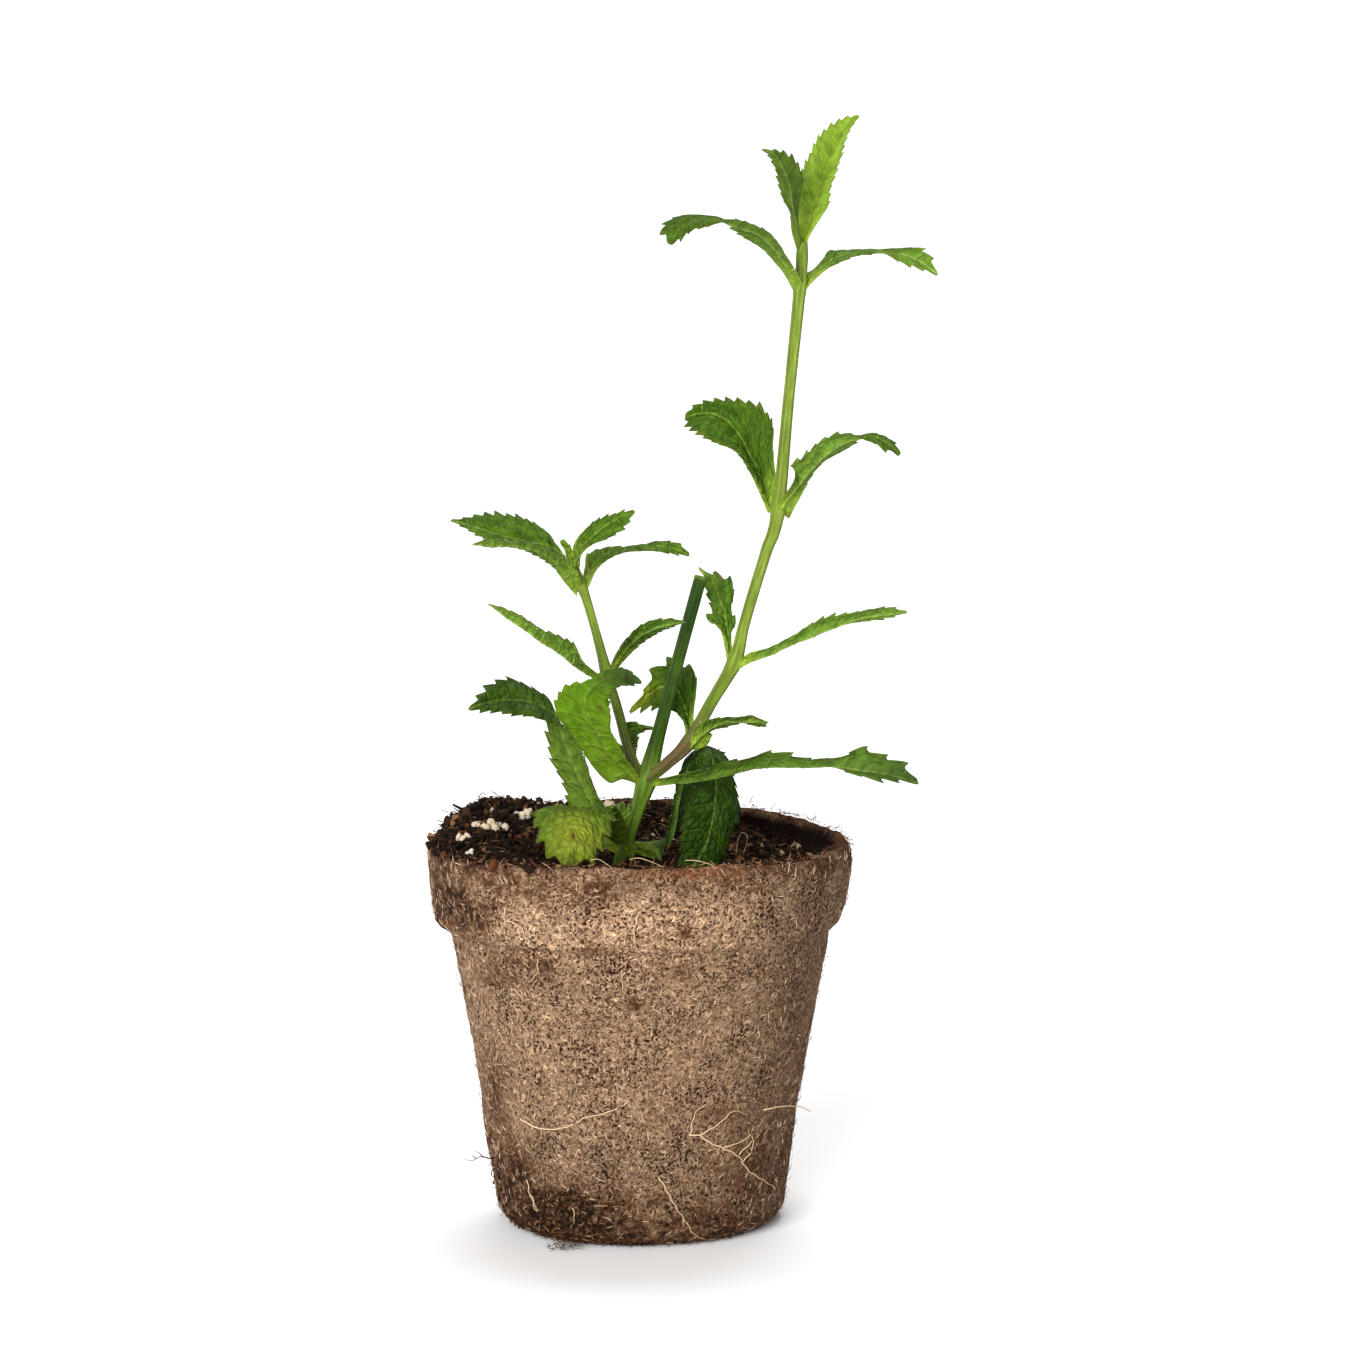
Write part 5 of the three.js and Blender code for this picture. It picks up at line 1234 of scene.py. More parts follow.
            (38.5, -18.5, 170.5), (41.5, -19.5, 171.5), (44.5, -20.5, 171.5),
            (46.5, -21.5, 170.5), (49, -22, 169.5), (51, -23, 168), (52.5, -23, 168)],
        tooth=2.6, shade=0.4,
        marks=[("tip_shade_and_sheen", 1, 0, 6, 0.4)]),
    "leaf_right_4a": dict(
        rib=[(33.5, -0.5, 200.5), (31.5, -3, 204.5), (28.5, -5.5, 209), (24.5, -8.5, 212.5),
            (20.5, -11, 214), (16.5, -13, 215.5), (12, -15, 215.5), (8.5, -16.5, 214),
            (6.5, -17, 210.5)],
        left=[(34.5, -1, 201), (33, -4, 204), (30, -8, 208.5), (27.5, -10, 212.5),
            (24, -12, 214.5), (20.5, -13.5, 215.5), (17, -15, 215), (13.5, -16.5, 214),
            (11, -17.5, 213.5), (8.5, -18, 211.5)],
        right=[(32.5, 0.5, 199.5), (30.5, -0.5, 203), (28.5, -2, 205.5), (25.5, -4, 209),
            (22.5, -6.5, 211), (20, -9, 212.5), (16.5, -11.5, 215.5), (13.5, -12.5, 216.5),
            (9.5, -13.5, 216.5), (6, -15, 215.5), (4.5, -16.5, 213.5)],
        tooth=2.2, shade=0.45, light=0.76, veining=0.55, quilt=0.35,
        marks=[("tip_shade_and_sheen", 1, 0, 7, 0.35)]),
    "leaf_right_4b": dict(
        rib=[(34.5, 0.5, 200.5), (36, 2, 202.5), (38.5, 4.5, 204.5), (41.5, 7, 206),
            (45, 9.5, 207), (48.5, 11.5, 207), (52, 13, 207), (56, 13.5, 206.5), (59.5, 14, 205),
            (63.5, 14, 202)],
        left=[(34, 1.5, 201), (35, 3, 203), (37, 5.5, 204), (39, 8, 206), (40, 10, 207.5),
            (43.5, 12, 207.5), (47, 13.5, 207.5), (51, 15, 207), (54.5, 15.5, 205), (57, 16, 204),
            (61, 16, 202.5)],
        right=[(35, -1, 200), (37, 0, 202), (39.5, 2, 204), (42.5, 4.5, 205.5), (46, 7, 206.5),
            (49.5, 9, 206.5), (52.5, 10.5, 207.5), (56, 11.5, 208), (59.5, 12.5, 208),
            (62, 13.5, 206)],
        tooth=2.8, shade=0.45, veining=0.5, quilt=0.35),
    "leaf_right_5a": dict(
        rib=[(34, 0.5, 208.5), (35.5, 2, 213), (36.5, 3.5, 218), (38.5, 5.5, 223), (40.5, 7, 228),
            (43, 8, 232.5), (46.5, 9, 236)],
        left=[(33.5, 0, 209), (33, 1.5, 213.5), (33, 3, 218), (33.5, 4, 222), (34.5, 5, 225.5),
            (36, 6, 229), (38, 7, 232.5), (40.5, 8, 234.5), (43.5, 9, 236)],
        right=[(35, -0.5, 209), (36, 0.5, 211.5), (38.5, 1.5, 215.5), (40, 2.5, 218),
            (40.5, 3.5, 221), (41.5, 4.5, 224), (42.5, 5.5, 227.5), (43.5, 6.5, 231),
            (45, 8, 234)],
        tooth=1.9, shade=0.8, light=0.9, veining=0.25, quilt=0.15),
    "leaf_right_5b": dict(
        rib=[(33.5, -0.5, 209), (33, -3, 214), (32, -5, 218), (31.5, -6.5, 222), (30, -8, 226),
            (28.5, -9, 228.5), (25.5, -10, 230)],
        left=[(34.5, 0, 209), (33.5, -1.5, 213), (33.5, -3, 218), (34, -4, 222),
            (34, -5.5, 225.5), (32.5, -7, 228), (30, -8, 229.5), (27, -9.5, 230)],
        right=[(33, 0, 208.5), (32, -1, 212), (31.5, -2.5, 216.5), (30, -4, 219), (29, -5, 222),
            (28.5, -6, 225), (27.5, -7.5, 227.5), (26.5, -9, 229)],
        tooth=1.9, shade=0.5, light=0.52, veining=0.3, quilt=0.3),
}
YOUNG = ("leaf_low_front", "leaf_top_left", "leaf_right_5a")
ROWS_EACH_TOOTH, LOOP = 10, 48
LAST_ROW = 0.995  # share of the midrib
TOOTH_HEIGHT, TOOTH_PEAK, TOOTH_LEAN = 0.4, 0.7, 0.36  # shares of one tooth's length
TOOTH_SUNK, TOOTH_SIZES = 0.7, (0.65, 1.3)  # what of a tooth lies inside the margin, and sizes
TEETH_FROM, TEETH_TO = (0.12, 0.3), (0.96, 1)  # shares of the length where they fade in and out
ROW_SLANT, SLANT_OF_WIDTH = 0.13, 0.6
DOME, MARGIN_WAVE = 0.07, 0.05  # shares of the half width
BLADE_HALF_THICKNESS, EDGE_HALF_THICKNESS = 0.15, 0.03  # mm
RIB_WIDTH, RIB_HEIGHT, RIB_SUNK = 0.42, 0.5, 0.14  # mm, at the leaf's foot, below and above it
VEIN_WIDTH, VEIN_HEIGHT = 0.26, 0.12  # mm
QUILTING = 0.2  # mm that the blade swells between two veins
FINE_WRINKLE, SLOW_WRINKLE = 0.08, 0.12  # mm

# %% [markdown]
# With u from foot to tip and v from -1 at the right margin to 1 at the left one, a point of the
# blade is the midrib's point at u plus |v| times the step to the margin's point a little further
# on, so the rows slant forward as the side veins do. Each tooth rises slowly and falls fast, so it
# points to the tip, and it also leans that way. Every second tooth ends a side vein. One loop of
# points goes over the upper face from left to right and back below, so both faces and the thin
# edge are one skin.

# %% Leaf surface
def tooth_shape(u, teeth, sizes):
    """A saw that climbs up to TOOTH_PEAK of each tooth and then drops, sunk by TOOTH_SUNK."""
    phase = u * teeth
    part = phase % 1
    saw = np.where(part < TOOTH_PEAK, part / TOOTH_PEAK, (1 - part) / (1 - TOOTH_PEAK))
    size = sizes[np.minimum(phase.astype(int), teeth - 1)]
    return (saw * size - TOOTH_SUNK) * smooth(*TEETH_FROM, u) * (1 - smooth(*TEETH_TO, u))


def leaf_surface(rib, left, right, tooth, seed, quilt, toothed):
    """Points, faces and what the material needs, for one blade."""
    place, direction, _, length = curve_through(rib)
    margins = [curve_through([*line, rib[-1]])[0] for line in (left, right)]
    veins = max(int(length / tooth / 2), 2)
    teeth = 2 * veins
    tooth_length = length / teeth
    u = np.linspace(0, LAST_ROW, teeth * ROWS_EACH_TOOTH)[:, None]
    t = 1 - 2 * np.arange(LOOP // 2) / (LOOP // 2 - 1)
    v = np.concatenate([t, -t])[None]
    top = (np.arange(LOOP) < LOOP // 2)[None]
    u, v, top = np.broadcast_arrays(u, v * (0.6 + 0.4 * v**2), top)

    # The blade between its lines, and the way it faces
    widest = np.linalg.norm(margins[0](0.5) - place(0.5)) / length
    slant = np.minimum(ROW_SLANT, SLANT_OF_WIDTH * widest) * (1 - u) * smooth(0, 0.25, u)
    left_edge, right_edge = (margin(u + slant) for margin in margins)
    step = np.where((v > 0)[..., None], left_edge, right_edge) - place(u)
    half_width = np.linalg.norm(step, axis=-1)
    tangent = direction(u)
    spread_out = unit(left_edge - right_edge)
    outward = unit(step * np.sign(v)[..., None] + 1e-6 * spread_out)
    blend = smooth(0.05, 0.5, np.abs(v))[..., None]
    face = unit(np.cross(tangent, unit(spread_out * (1 - blend) + outward * blend)))

    # The teeth
    sizes = np.random.default_rng(seed).uniform(*TOOTH_SIZES, (2, teeth))
    saw = np.where(v > 0, tooth_shape(u, teeth, sizes[0]), tooth_shape(u, teeth, sizes[1]))
    reach = toothed * TOOTH_HEIGHT * tooth_length * (1 - np.exp(-half_width / 2)) * saw
    outer = np.abs(v) ** 6
    points = place(u) + step * np.abs(v)[..., None]
    points = points + outward * (np.sign(v) * reach * outer)[..., None]
    points = points + tangent * (TOOTH_LEAN * tooth_length * (saw + 0.2) * outer)[..., None]

    # The relief: midrib, side veins, quilting, wrinkles, a wavy margin and a thickness
    across = v * half_width
    vein_gap = np.abs((u * veins + 0.5) % 1 - 0.5) * length / veins
    vein = bell(vein_gap, 0, VEIN_WIDTH) * smooth(0.06, 0.15, u) * (1 - 0.6 * v * v)
    thin = smooth(1.0, 0.85, u)
    ridge = bell(across, 0, RIB_WIDTH * (1.3 - 0.9 * u))
    inner = (1 - v**6) * smooth(0.04, 0.2, u) * thin
    between = (1 - bell(vein_gap, 0, 0.16 * length / veins)) * (1 - ridge)
    blade = np.stack([u * length, across, np.full_like(u, 7.0 * seed)], -1)
    wrinkle = QUILTING * between + FINE_WRINKLE * lattice_noise(blade, 1.3, 71)
    wrinkle = quilt * wrinkle + SLOW_WRINKLE * cloud(blade, 4, 73)
    wave = MARGIN_WAVE * np.sin(0.45 * u * length + 2 * np.sign(v) + seed) * v * v
    dome = DOME * 4 * np.abs(v) * (1 - np.abs(v))
    lift = inner * wrinkle + half_width * (dome + wave)
    swell = BLADE_HALF_THICKNESS * (1 - v**8) ** 0.5 * (0.25 + 0.75 * thin)
    thickness = EDGE_HALF_THICKNESS + swell
    above = thickness - RIB_SUNK * ridge * smooth(0, 0.1, u) * thin
    above = above - 0.5 * VEIN_HEIGHT * vein * thin
    below = thickness + RIB_HEIGHT * (1.1 - u) * ridge * (0.2 + 0.8 * thin)
    below = below + VEIN_HEIGHT * vein * thin
    points = points + face * (lift + np.where(top, above, -below))[..., None]
    flat = np.vstack([points.reshape(-1, 3), points[0].mean(0), points[-1].mean(0)])

    def spread(values):
        values = np.broadcast_to(values, u.shape)
        return np.concatenate([values.ravel(), [values[0].mean(), values[-1].mean()]])

    return dict(points=flat, faces=closed_faces(u.shape[0], LOOP), u=spread(u), v=spread(v),
                phase=spread(u * veins), along=spread(u * length), across=spread(across),
                half=spread(half_width), under=spread(~top * 1.0), spacing=length / veins,
                length=length)


# %% [markdown]
# ## Leaf skin
# A leaf is a thin green sheet: waxy but wrinkled above, so its gloss is broken and faint, and paler
# and more matt below. Veins are drawn from the leaf's own map: the midrib where the distance across
# is small, the side veins where the count of veins passed is near a whole number, and between them
# a net of cells nearly two millimetres wide, which puckers the blade. The points also say how
# fresh, yellow, brown or foot-like each place is, and the painted light and shade on it: each
# leaf's painted brightness, and painted shade with a grey sheen on some tips. Scales below are
# lumps per mm.

# %% Leaf material
NET_SIZE, NET_STRENGTH = 1.9, 0.3  # mm between the small veins
NET_WIDTH = 0.16  # mm, wider than real so that the net shows
NET_BEND_SCALE, NET_BEND = 1.1, 0.8
WOBBLE_SCALE, VEIN_WOBBLE = 0.9, 0.16  # share of the step from vein to vein
TONE_SCALE, TONE_PATCHES = 0.28, 0.6
VEIN_TONES = (0.42, 0.55)  # how strongly the veins are tinted above and below
RIB_TONE, LINE_PALENESS = 0.6, 0.45
VEIN_EDGES, RIB_EDGES = (0.26, 0.04), (0.42, 0.14)  # mm where a line starts and is full
LEAF_RELIEF, UNDER_RELIEF = 0.28, -1.6  # mm, and what the lower face changes it by
ROUGH_ABOVE, ROUGH_BELOW = 0.45, 0.66
LEAF_GLOW = {"Subsurface Weight": 0.1, "Subsurface Radius": (0.7 * MM, 1.2 * MM, 0.25 * MM),
             "Subsurface Scale": 1.0}
# The last mark is painted shade with a grey sheen, on curled and drooping tips
MARKS = {"yellow": "a9ad30", "brown": "583c19", "foot": "7f982e", "tip_shade_and_sheen": "262f1a"}


def leaf_lines(tree, blade):
    """How strongly a place lies on a vein and on the midrib, and the cells of the net."""
    veins_map = add(tree, "UVMap", {}, uv_map="veins")
    phase, share = (add(tree, "SeparateXYZ", {0: veins_map}, out=i) for i in (0, 1))
    across = add(tree, "SeparateXYZ", {0: blade}, out=1)
    wobble = maths(tree, "MULTIPLY_ADD", noise(tree, blade, WOBBLE_SCALE, 2, dimensions="2D"),
                   VEIN_WOBBLE, -VEIN_WOBBLE / 2)
    gap = maths(tree, "PINGPONG", maths(tree, "ADD", phase, wobble), 0.5)
    gap = maths(tree, "MULTIPLY", gap, point_value(tree, "spacing"))
    side_vein = ranged(tree, gap, *VEIN_EDGES, interpolation_type="SMOOTHSTEP")
    fade = ranged(tree, maths(tree, "ABSOLUTE", share), 1, 0.6, low=0.25)
    midrib = ranged(tree, maths(tree, "ABSOLUTE", across), *RIB_EDGES,
                    interpolation_type="SMOOTHSTEP")
    bends = noise(tree, blade, NET_BEND_SCALE, 1, out="Color", dimensions="2D")
    bent = add(tree, "VectorMath", {0: bends, 1: (NET_BEND, NET_BEND, 0), 2: blade},
               operation="MULTIPLY_ADD")
    cells = add(tree, "TexVoronoi", {"Vector": bent, "Scale": 1 / NET_SIZE},
                feature="DISTANCE_TO_EDGE", voronoi_dimensions="2D")
    net = ranged(tree, cells, NET_WIDTH / NET_SIZE, 0.01, interpolation_type="SMOOTHSTEP")
    veins = maths(tree, "MAXIMUM", maths(tree, "MULTIPLY", side_vein, fade),
                  maths(tree, "MULTIPLY", net, NET_STRENGTH))
    return veins, midrib, cells


def leaf_skin(name, upper, lower):
    """upper and lower are the hex colours of the dark green, the fresh green and the veins."""
    material, tree = new_material(name)
    under, veining = point_value(tree, "under"), point_value(tree, "veining")
    blade = add(tree, "UVMap", {}, uv_map="blade")
    veins, midrib, cells = leaf_lines(tree, blade)
    patches = maths(tree, "MULTIPLY_ADD", noise(tree, blade, TONE_SCALE, 3, dimensions="2D"),
                    TONE_PATCHES, -TONE_PATCHES / 2)
    # shade picks the green from deep to fresh, and also holds each leaf's painted shade
    tone = maths(tree, "ADD", point_value(tree, "shade"), patches, use_clamp=True)
    sides = []
    for (dark, pale, vein_tint), strength in zip((upper, lower), VEIN_TONES):
        green = mixed(tree, tone, dark, pale)
        amount = maths(tree, "MULTIPLY", maths(tree, "MULTIPLY", veins, strength), veining)
        amount = maths(tree, "MAXIMUM", amount, maths(tree, "MULTIPLY", midrib, RIB_TONE))
        sides.append(mixed(tree, amount, green, mixed(tree, LINE_PALENESS, vein_tint, green)))
    colour = mixed(tree, under, *sides)
    for kind, tint in MARKS.items():
        colour = mixed(tree, point_value(tree, kind), colour, tint)
    grain = noise(tree, blade, 1 / NET_SIZE, 2, dimensions="2D")
    grain = ranged(tree, grain, 0.35, 0.65, 0.8, 1.18)
    # Each leaf's painted light and shade brightens or darkens it as a whole
    colour = brightened(tree, colour, maths(tree, "MULTIPLY", grain, point_value(tree, "light")))
    raised = maths(tree, "SUBTRACT", ranged(tree, cells, 0, 0.3), veins)
    flip = maths(tree, "MULTIPLY_ADD", under, UNDER_RELIEF, 1.0)
    raised = maths(tree, "MULTIPLY", maths(tree, "MULTIPLY", raised, flip), veining)
    rough = ranged(tree, under, 0, 1, ROUGH_ABOVE, ROUGH_BELOW)
    finish_skin(tree, colour, rough, 0.07, raised, LEAF_RELIEF, more=LEAF_GLOW)
    return material


full_leaf = leaf_skin("vervain leaf", ("243f06", "5c7e18", "8ea345"),
                      ("375915", "708b2e", "96a658"))
young_leaf = leaf_skin("young vervain leaf", ("315008", "78932a", "7d8c36"),
                       ("3c6408", "6c9018", "86983a"))
EDGE_BROWN = 0.3  # how brown every margin is
FOOT_PALE, FOOT_REACH = 0.85, (9, 1)  # how pale every foot is, and mm from the stem


def leaf_values(leaf, shape):
    """The numbers that the skin reads. A mark is a bell of the distance from its place, in mm."""
    values = {kind: np.zeros(len(shape["u"])) for kind in MARKS}
    for kind, at_u, at_v, size, strength in leaf.get("marks", ()):
        distance = np.hypot((shape["u"] - at_u) * shape["length"],
                            shape["across"] - at_v * shape["half"])
        values[kind] = np.maximum(values[kind], strength * bell(distance, 0, size))
    margin = smooth(0.9, 1, np.abs(shape["v"])) * smooth(*TEETH_FROM, shape["u"])
    values["brown"] = np.maximum(values["brown"], EDGE_BROWN * margin)
    values["foot"] = np.maximum(values["foot"], FOOT_PALE * smooth(*FOOT_REACH, shape["along"]))
    for key, number in (("shade", leaf["shade"]), ("spacing", shape["spacing"]),
                        ("light", leaf.get("light", 1)), ("veining", leaf.get("veining", 1))):
        values[key] = np.full(len(shape["u"]), number)
    values["under"] = shape["under"]
    return values


# %% Leaves
def add_leaf(name, leaf, seed, node=None, young=False):
    """Makes one leaf's piece from its lines and looks, and returns its shape."""
    shape = leaf_surface(leaf["rib"], leaf["left"], leaf["right"], leaf["tooth"], seed,
                         leaf.get("quilt", 0.8), leaf.get("toothed", 1))
    skin, slot = (young_leaf, "young_leaf") if young else (full_leaf, "leaf")
    mesh_piece(name, shape["points"], shape["faces"], skin, slot, node=node,
               values=leaf_values(leaf, shape),
               uv={"veins": np.stack([shape["phase"], shape["v"]], 1),
                   "blade": np.stack([shape["along"], shape["across"]], 1)})
    return shape


leaf_shapes = [add_leaf(name.replace("leaf", "blade"), leaf, seed, name, name in YOUNG)
               for seed, (name, leaf) in enumerate(LEAVES.items(), 1)]

# %% [markdown]
# ## Loose fibres of the pot
# Where the wall is rubbed, fibres stand off it, so its outline is furry. They are threads one to
# three millimetres long. Most lie along the wall and arch a little off it, some stand out, and more
# of them run round the torn rim. Their tone picks pale wood or dark bark from a ramp.

# %% Loose pot fibres
LYING, STANDING, ROUND_THE_RIM = 7600, 2000, 1100
LYING_LIFT, STANDING_LIFT = (0.12, 0.4), (0.4, 1.6)  # how steeply they leave the wall
LENGTHS, RADII = (0.9, 2.8), (0.045, 0.09)  # mm
RIM_LENGTHS, RIM_RADII = (0.8, 2.6), (0.05, 0.1)
FIBRE_FROM, FIBRE_TO = 0.8, 83  # heights
ROOTED = 0.12  # mm that a fibre starts below the wall's surface
DARK_BEHIND, DARK_BEFORE = 0.25, 0.55  # what the rim fibres' tone is multiplied by
FLOOR_GAP = 0.02  # mm that loose fibres stay above the floor


def wall_frame(angle, height):
    """Directions outwards, round and up the wall at these places."""
    flat = np.zeros_like(angle)
    out = np.stack([np.cos(angle), np.sin(angle), flat], -1)
    around = np.stack([-np.sin(angle), np.cos(angle), flat], -1)
    up = unit(on_wall(angle, height + 0.5) - on_wall(angle, height - 0.5))
    return unit(np.cross(around, up)), around, up


def wall_threads(angle, height, way, lift, lengths, radii):
    """Threads on the wall: way is their turn from round to up, lift how steeply they leave it."""
    out, around, up = wall_frame(angle, height)
    way, lift = way[:, None], lift[:, None]
    direction = around * np.cos(way) + up * np.sin(way) + out * lift
    side = up * np.cos(way) - around * np.sin(way)
    bend = side * random.normal(0, 0.35, (len(angle), 1)) - out * 0.8 * lift
    return threads(on_wall(angle, height) - out * ROOTED, direction, bend, lengths, radii)


on_side = LYING + STANDING
angle = random.uniform(0, 2 * np.pi, on_side)
height = random.uniform(FIBRE_FROM, FIBRE_TO, on_side)
lift = np.concatenate([random.uniform(*LYING_LIFT, LYING),
                       random.uniform(*STANDING_LIFT, STANDING)])
lengths = random.uniform(*LENGTHS, on_side)
side_threads = wall_threads(angle, height, random.uniform(0, np.pi, on_side), lift, lengths,
                            random.uniform(*RADII, on_side))
rim_angle = random.uniform(0, 2 * np.pi, ROUND_THE_RIM)
rim_place = on_wall(rim_angle, POT_TOP + 0.1, random.uniform(-3, 0.6, ROUND_THE_RIM) - 0.6)
rim_way = unit(random.normal(0, 1, (ROUND_THE_RIM, 3)) * (1, 1, 0.35))
rim_threads = threads(rim_place, rim_way, random.normal(0, 0.3, rim_way.shape),
                      random.uniform(*RIM_LENGTHS, ROUND_THE_RIM),
                      random.uniform(*RIM_RADII, ROUND_THE_RIM))
points, faces = joined([side_threads, rim_threads])
points[:, 2] = np.maximum(points[:, 2], FLOOR_GAP)
tones = random.uniform(0, 1, on_side + ROUND_THE_RIM)
tones[on_side:] *= np.where(rim_place[:, 1] > -10, DARK_BEHIND, DARK_BEFORE)
pot_fibre = loose_bits("loose wood fibre", ((0, "3d2314"), (0.35, "6e4a33"), (0.5, "ae8a6c"),
                                            (1, "dfc3a6")), 0.95, 0.6, 0.02)
mesh_piece("pot_fibres", points, faces, pot_fibre, "pressed_fibre",
           values={"tone": np.repeat(tones, THREAD_POINTS)})

# %% [markdown]
# ## Roots
# Fine cream roots have grown through the wall and lie on it. Each is a thin tube along places
# measured on the front of the pot, and a curve through them keeps it smooth.

# %% Roots
ROOT_RADIUS, ROOT_LIFT, ROOT_STEP = 0.14, 0.4, 0.6  # mm
WIGGLE, WIGGLE_TURN = 0.18, 2.3  # mm, and radians for each mm along
SHORT_ROOT, SHORT_ROOT_SIZE = 12, 0.75  # mm, and how thick a shorter one is
ROOT_TONE, ROOT_TONE_CHANGE = 0.5, 0.5
# x and height of each root's places on the front of the pot
ROOTS = [
    [(-27.5, 75), (-27.5, 71), (-27, 72), (-24.5, 71), (-23, 68.5), (-22, 66.5), (-21, 67)],
    [(-21, 63.5), (-21, 60.5), (-22.5, 58)],
    [(0, 75), (-1, 70.5), (-0.5, 66.5)],
    [(-25, 26.5), (-21.5, 25.3), (-17.5, 25.6), (-14, 27), (-11, 29), (-7.5, 30), (-3.5, 32),
     (-2, 33.5)],
    [(10.5, 25), (12.5, 24.8), (14.5, 23), (17.5, 21.3), (20.5, 19), (22.5, 15.5), (25, 13),
     (27, 11), (28.5, 9)],
    [(10.5, 25), (11.5, 29.8), (14, 31.8)],
    [(12.5, 24.8), (16.5, 27), (19.5, 29.3), (22.5, 28)],
    [(17.5, 21.5), (22, 22.5), (24, 25)],
    [(20.5, 19.3), (23.5, 21.8), (25, 23)],
    [(21.5, 17.5), (23.5, 20), (23.5, 23)],
    [(4, 16), (5.5, 13.3), (7.5, 9.3), (9.5, 6), (11.5, 2.6), (13.6, 1.2)],
    [(-23.5, 13), (-23.2, 10.5), (-22, 8), (-21.5, 6.2), (-22.3, 7.6), (-23, 10)],
    [(-14, 8.5), (-13.6, 6), (-14.4, 4)],
    [(-36, 60), (-35, 56.5)], [(-3, 61.5), (-3.6, 59.8), (-3.2, 57)], [(-26, 56), (-24, 53.5)],
]
# x and height on the wall of a root that leaves it at the right, then its places in the open
STRAY_ON_WALL = np.array([(26, 28.2), (29.5, 27.8), (33, 25.6)])
STRAY_OUT = [(34.8, -6, 25), (36.4, -5, 24)]
STRAY_STEPS, STRAY_RADII = 24, (0.2, 0.12)
root_tubes = []
for k, places in enumerate(ROOTS):
    place, _, _, length = curve_through(places)
    share = np.linspace(0, 1, max(8, int(length / ROOT_STEP)))
    x, z = place(share).T
    x = x + WIGGLE * np.sin(WIGGLE_TURN * share * length + k)
    radius = ROOT_RADIUS * (1.15 - 0.6 * share) * (SHORT_ROOT_SIZE if length < SHORT_ROOT else 1)
    root_tubes.append(tube(on_wall(front_angle(x, z), z, ROOT_LIFT), radius))
x, z = STRAY_ON_WALL.T
stray = curve_through(np.vstack([on_wall(front_angle(x, z), z, 0.3), STRAY_OUT]))[0]
root_tubes.append(tube(stray(np.linspace(0, 1, STRAY_STEPS)),
                       np.linspace(*STRAY_RADII, STRAY_STEPS)))
points, faces = joined(root_tubes)
root_skin = loose_bits("fine plant root", ((0, "b89674"), (1, "d8bb98")), 0.6, 0.8, 0.02)
mesh_piece("wall_roots", points, faces, root_skin, "pressed_fibre",
           values={"tone": ROOT_TONE + ROOT_TONE_CHANGE * lattice_noise(points, 6, 81)})

# %% [markdown]
# ## What clings to the foot and the rim
# Wet peat has stuck to the pot's foot, most of it at the front left, where it hangs down to the
# floor. Dry sprigs and fine roots stand out from the foot at the left and lie over the front rim.

# %% Clinging peat
CLINGING, HANGING = 1700, 1300  # crumbs and fibres
FALLEN = 200  # fibres of the tuft that hangs down to the floor
TUFT_FROM, TUFT_TO, TUFT_SPREAD = (-14.5, -27, 3), (-16.5, -32, 0.6), (2.2, 0.7, 0.5)
THICKEST_AT, THICKEST_SPREAD, FOOT_FROM, FOOT_TO = -16, 6, -31, 22  # x
CLINGING_SIZES = (0.08, 0.55)  # smallest and largest half size, in mm
HANGING_LENGTH, HANGING_RADIUS = (0.6, 2.4), (0.04, 0.09)
HANGING_WAY = (-0.1, -0.7, 0)  # they lean to the front


def foot_places(count, low, high, out):
    """Places round the foot, thickest at the front left."""
    most = 3 * count // 4
    x = np.concatenate([random.normal(THICKEST_AT, THICKEST_SPREAD, most),
                        random.uniform(FOOT_FROM, FOOT_TO, count - most)])
    height = low + (high - low) * random.uniform(0, 1, count) ** 2
    return on_wall(front_angle(x, height), height, random.uniform(*out, count))


places = foot_places(CLINGING, 0.4, 12, (-0.1, 0.25))
sizes = crumb_sizes(CLINGING, *CLINGING_SIZES)
places[:, 2] = np.maximum(places[:, 2], 1.2 * sizes.max(1))
add_crumbs("clinging_peat", places, sizes, loose_peat, random.uniform(0.2, 1, CLINGING))
places = foot_places(HANGING, 0.5, 12, (-0.2, 0.2))
fallen = random.uniform(0, 1, FALLEN)[:, None]
tuft = TUFT_FROM + fallen * np.subtract(TUFT_TO, TUFT_FROM)
places[:FALLEN] = tuft + random.normal(0, 1, (FALLEN, 3)) * TUFT_SPREAD
way = unit(random.normal(0, 1, (HANGING, 3)) * (1, 0.5, 0.25) + HANGING_WAY)
points, faces = threads(places, way, 0.4 * random.normal(size=way.shape) * (1, 1, 0.2),
                        random.uniform(*HANGING_LENGTH, HANGING),
                        random.uniform(*HANGING_RADIUS, HANGING))
points[:, 2] = np.maximum(points[:, 2], FLOOR_GAP)
tones = random.uniform(0.1, 1, HANGING)
mesh_piece("clinging_fibres", points, faces, peat_fibre, "peat_compost",
           values={"tone": np.repeat(tones, THREAD_POINTS)})

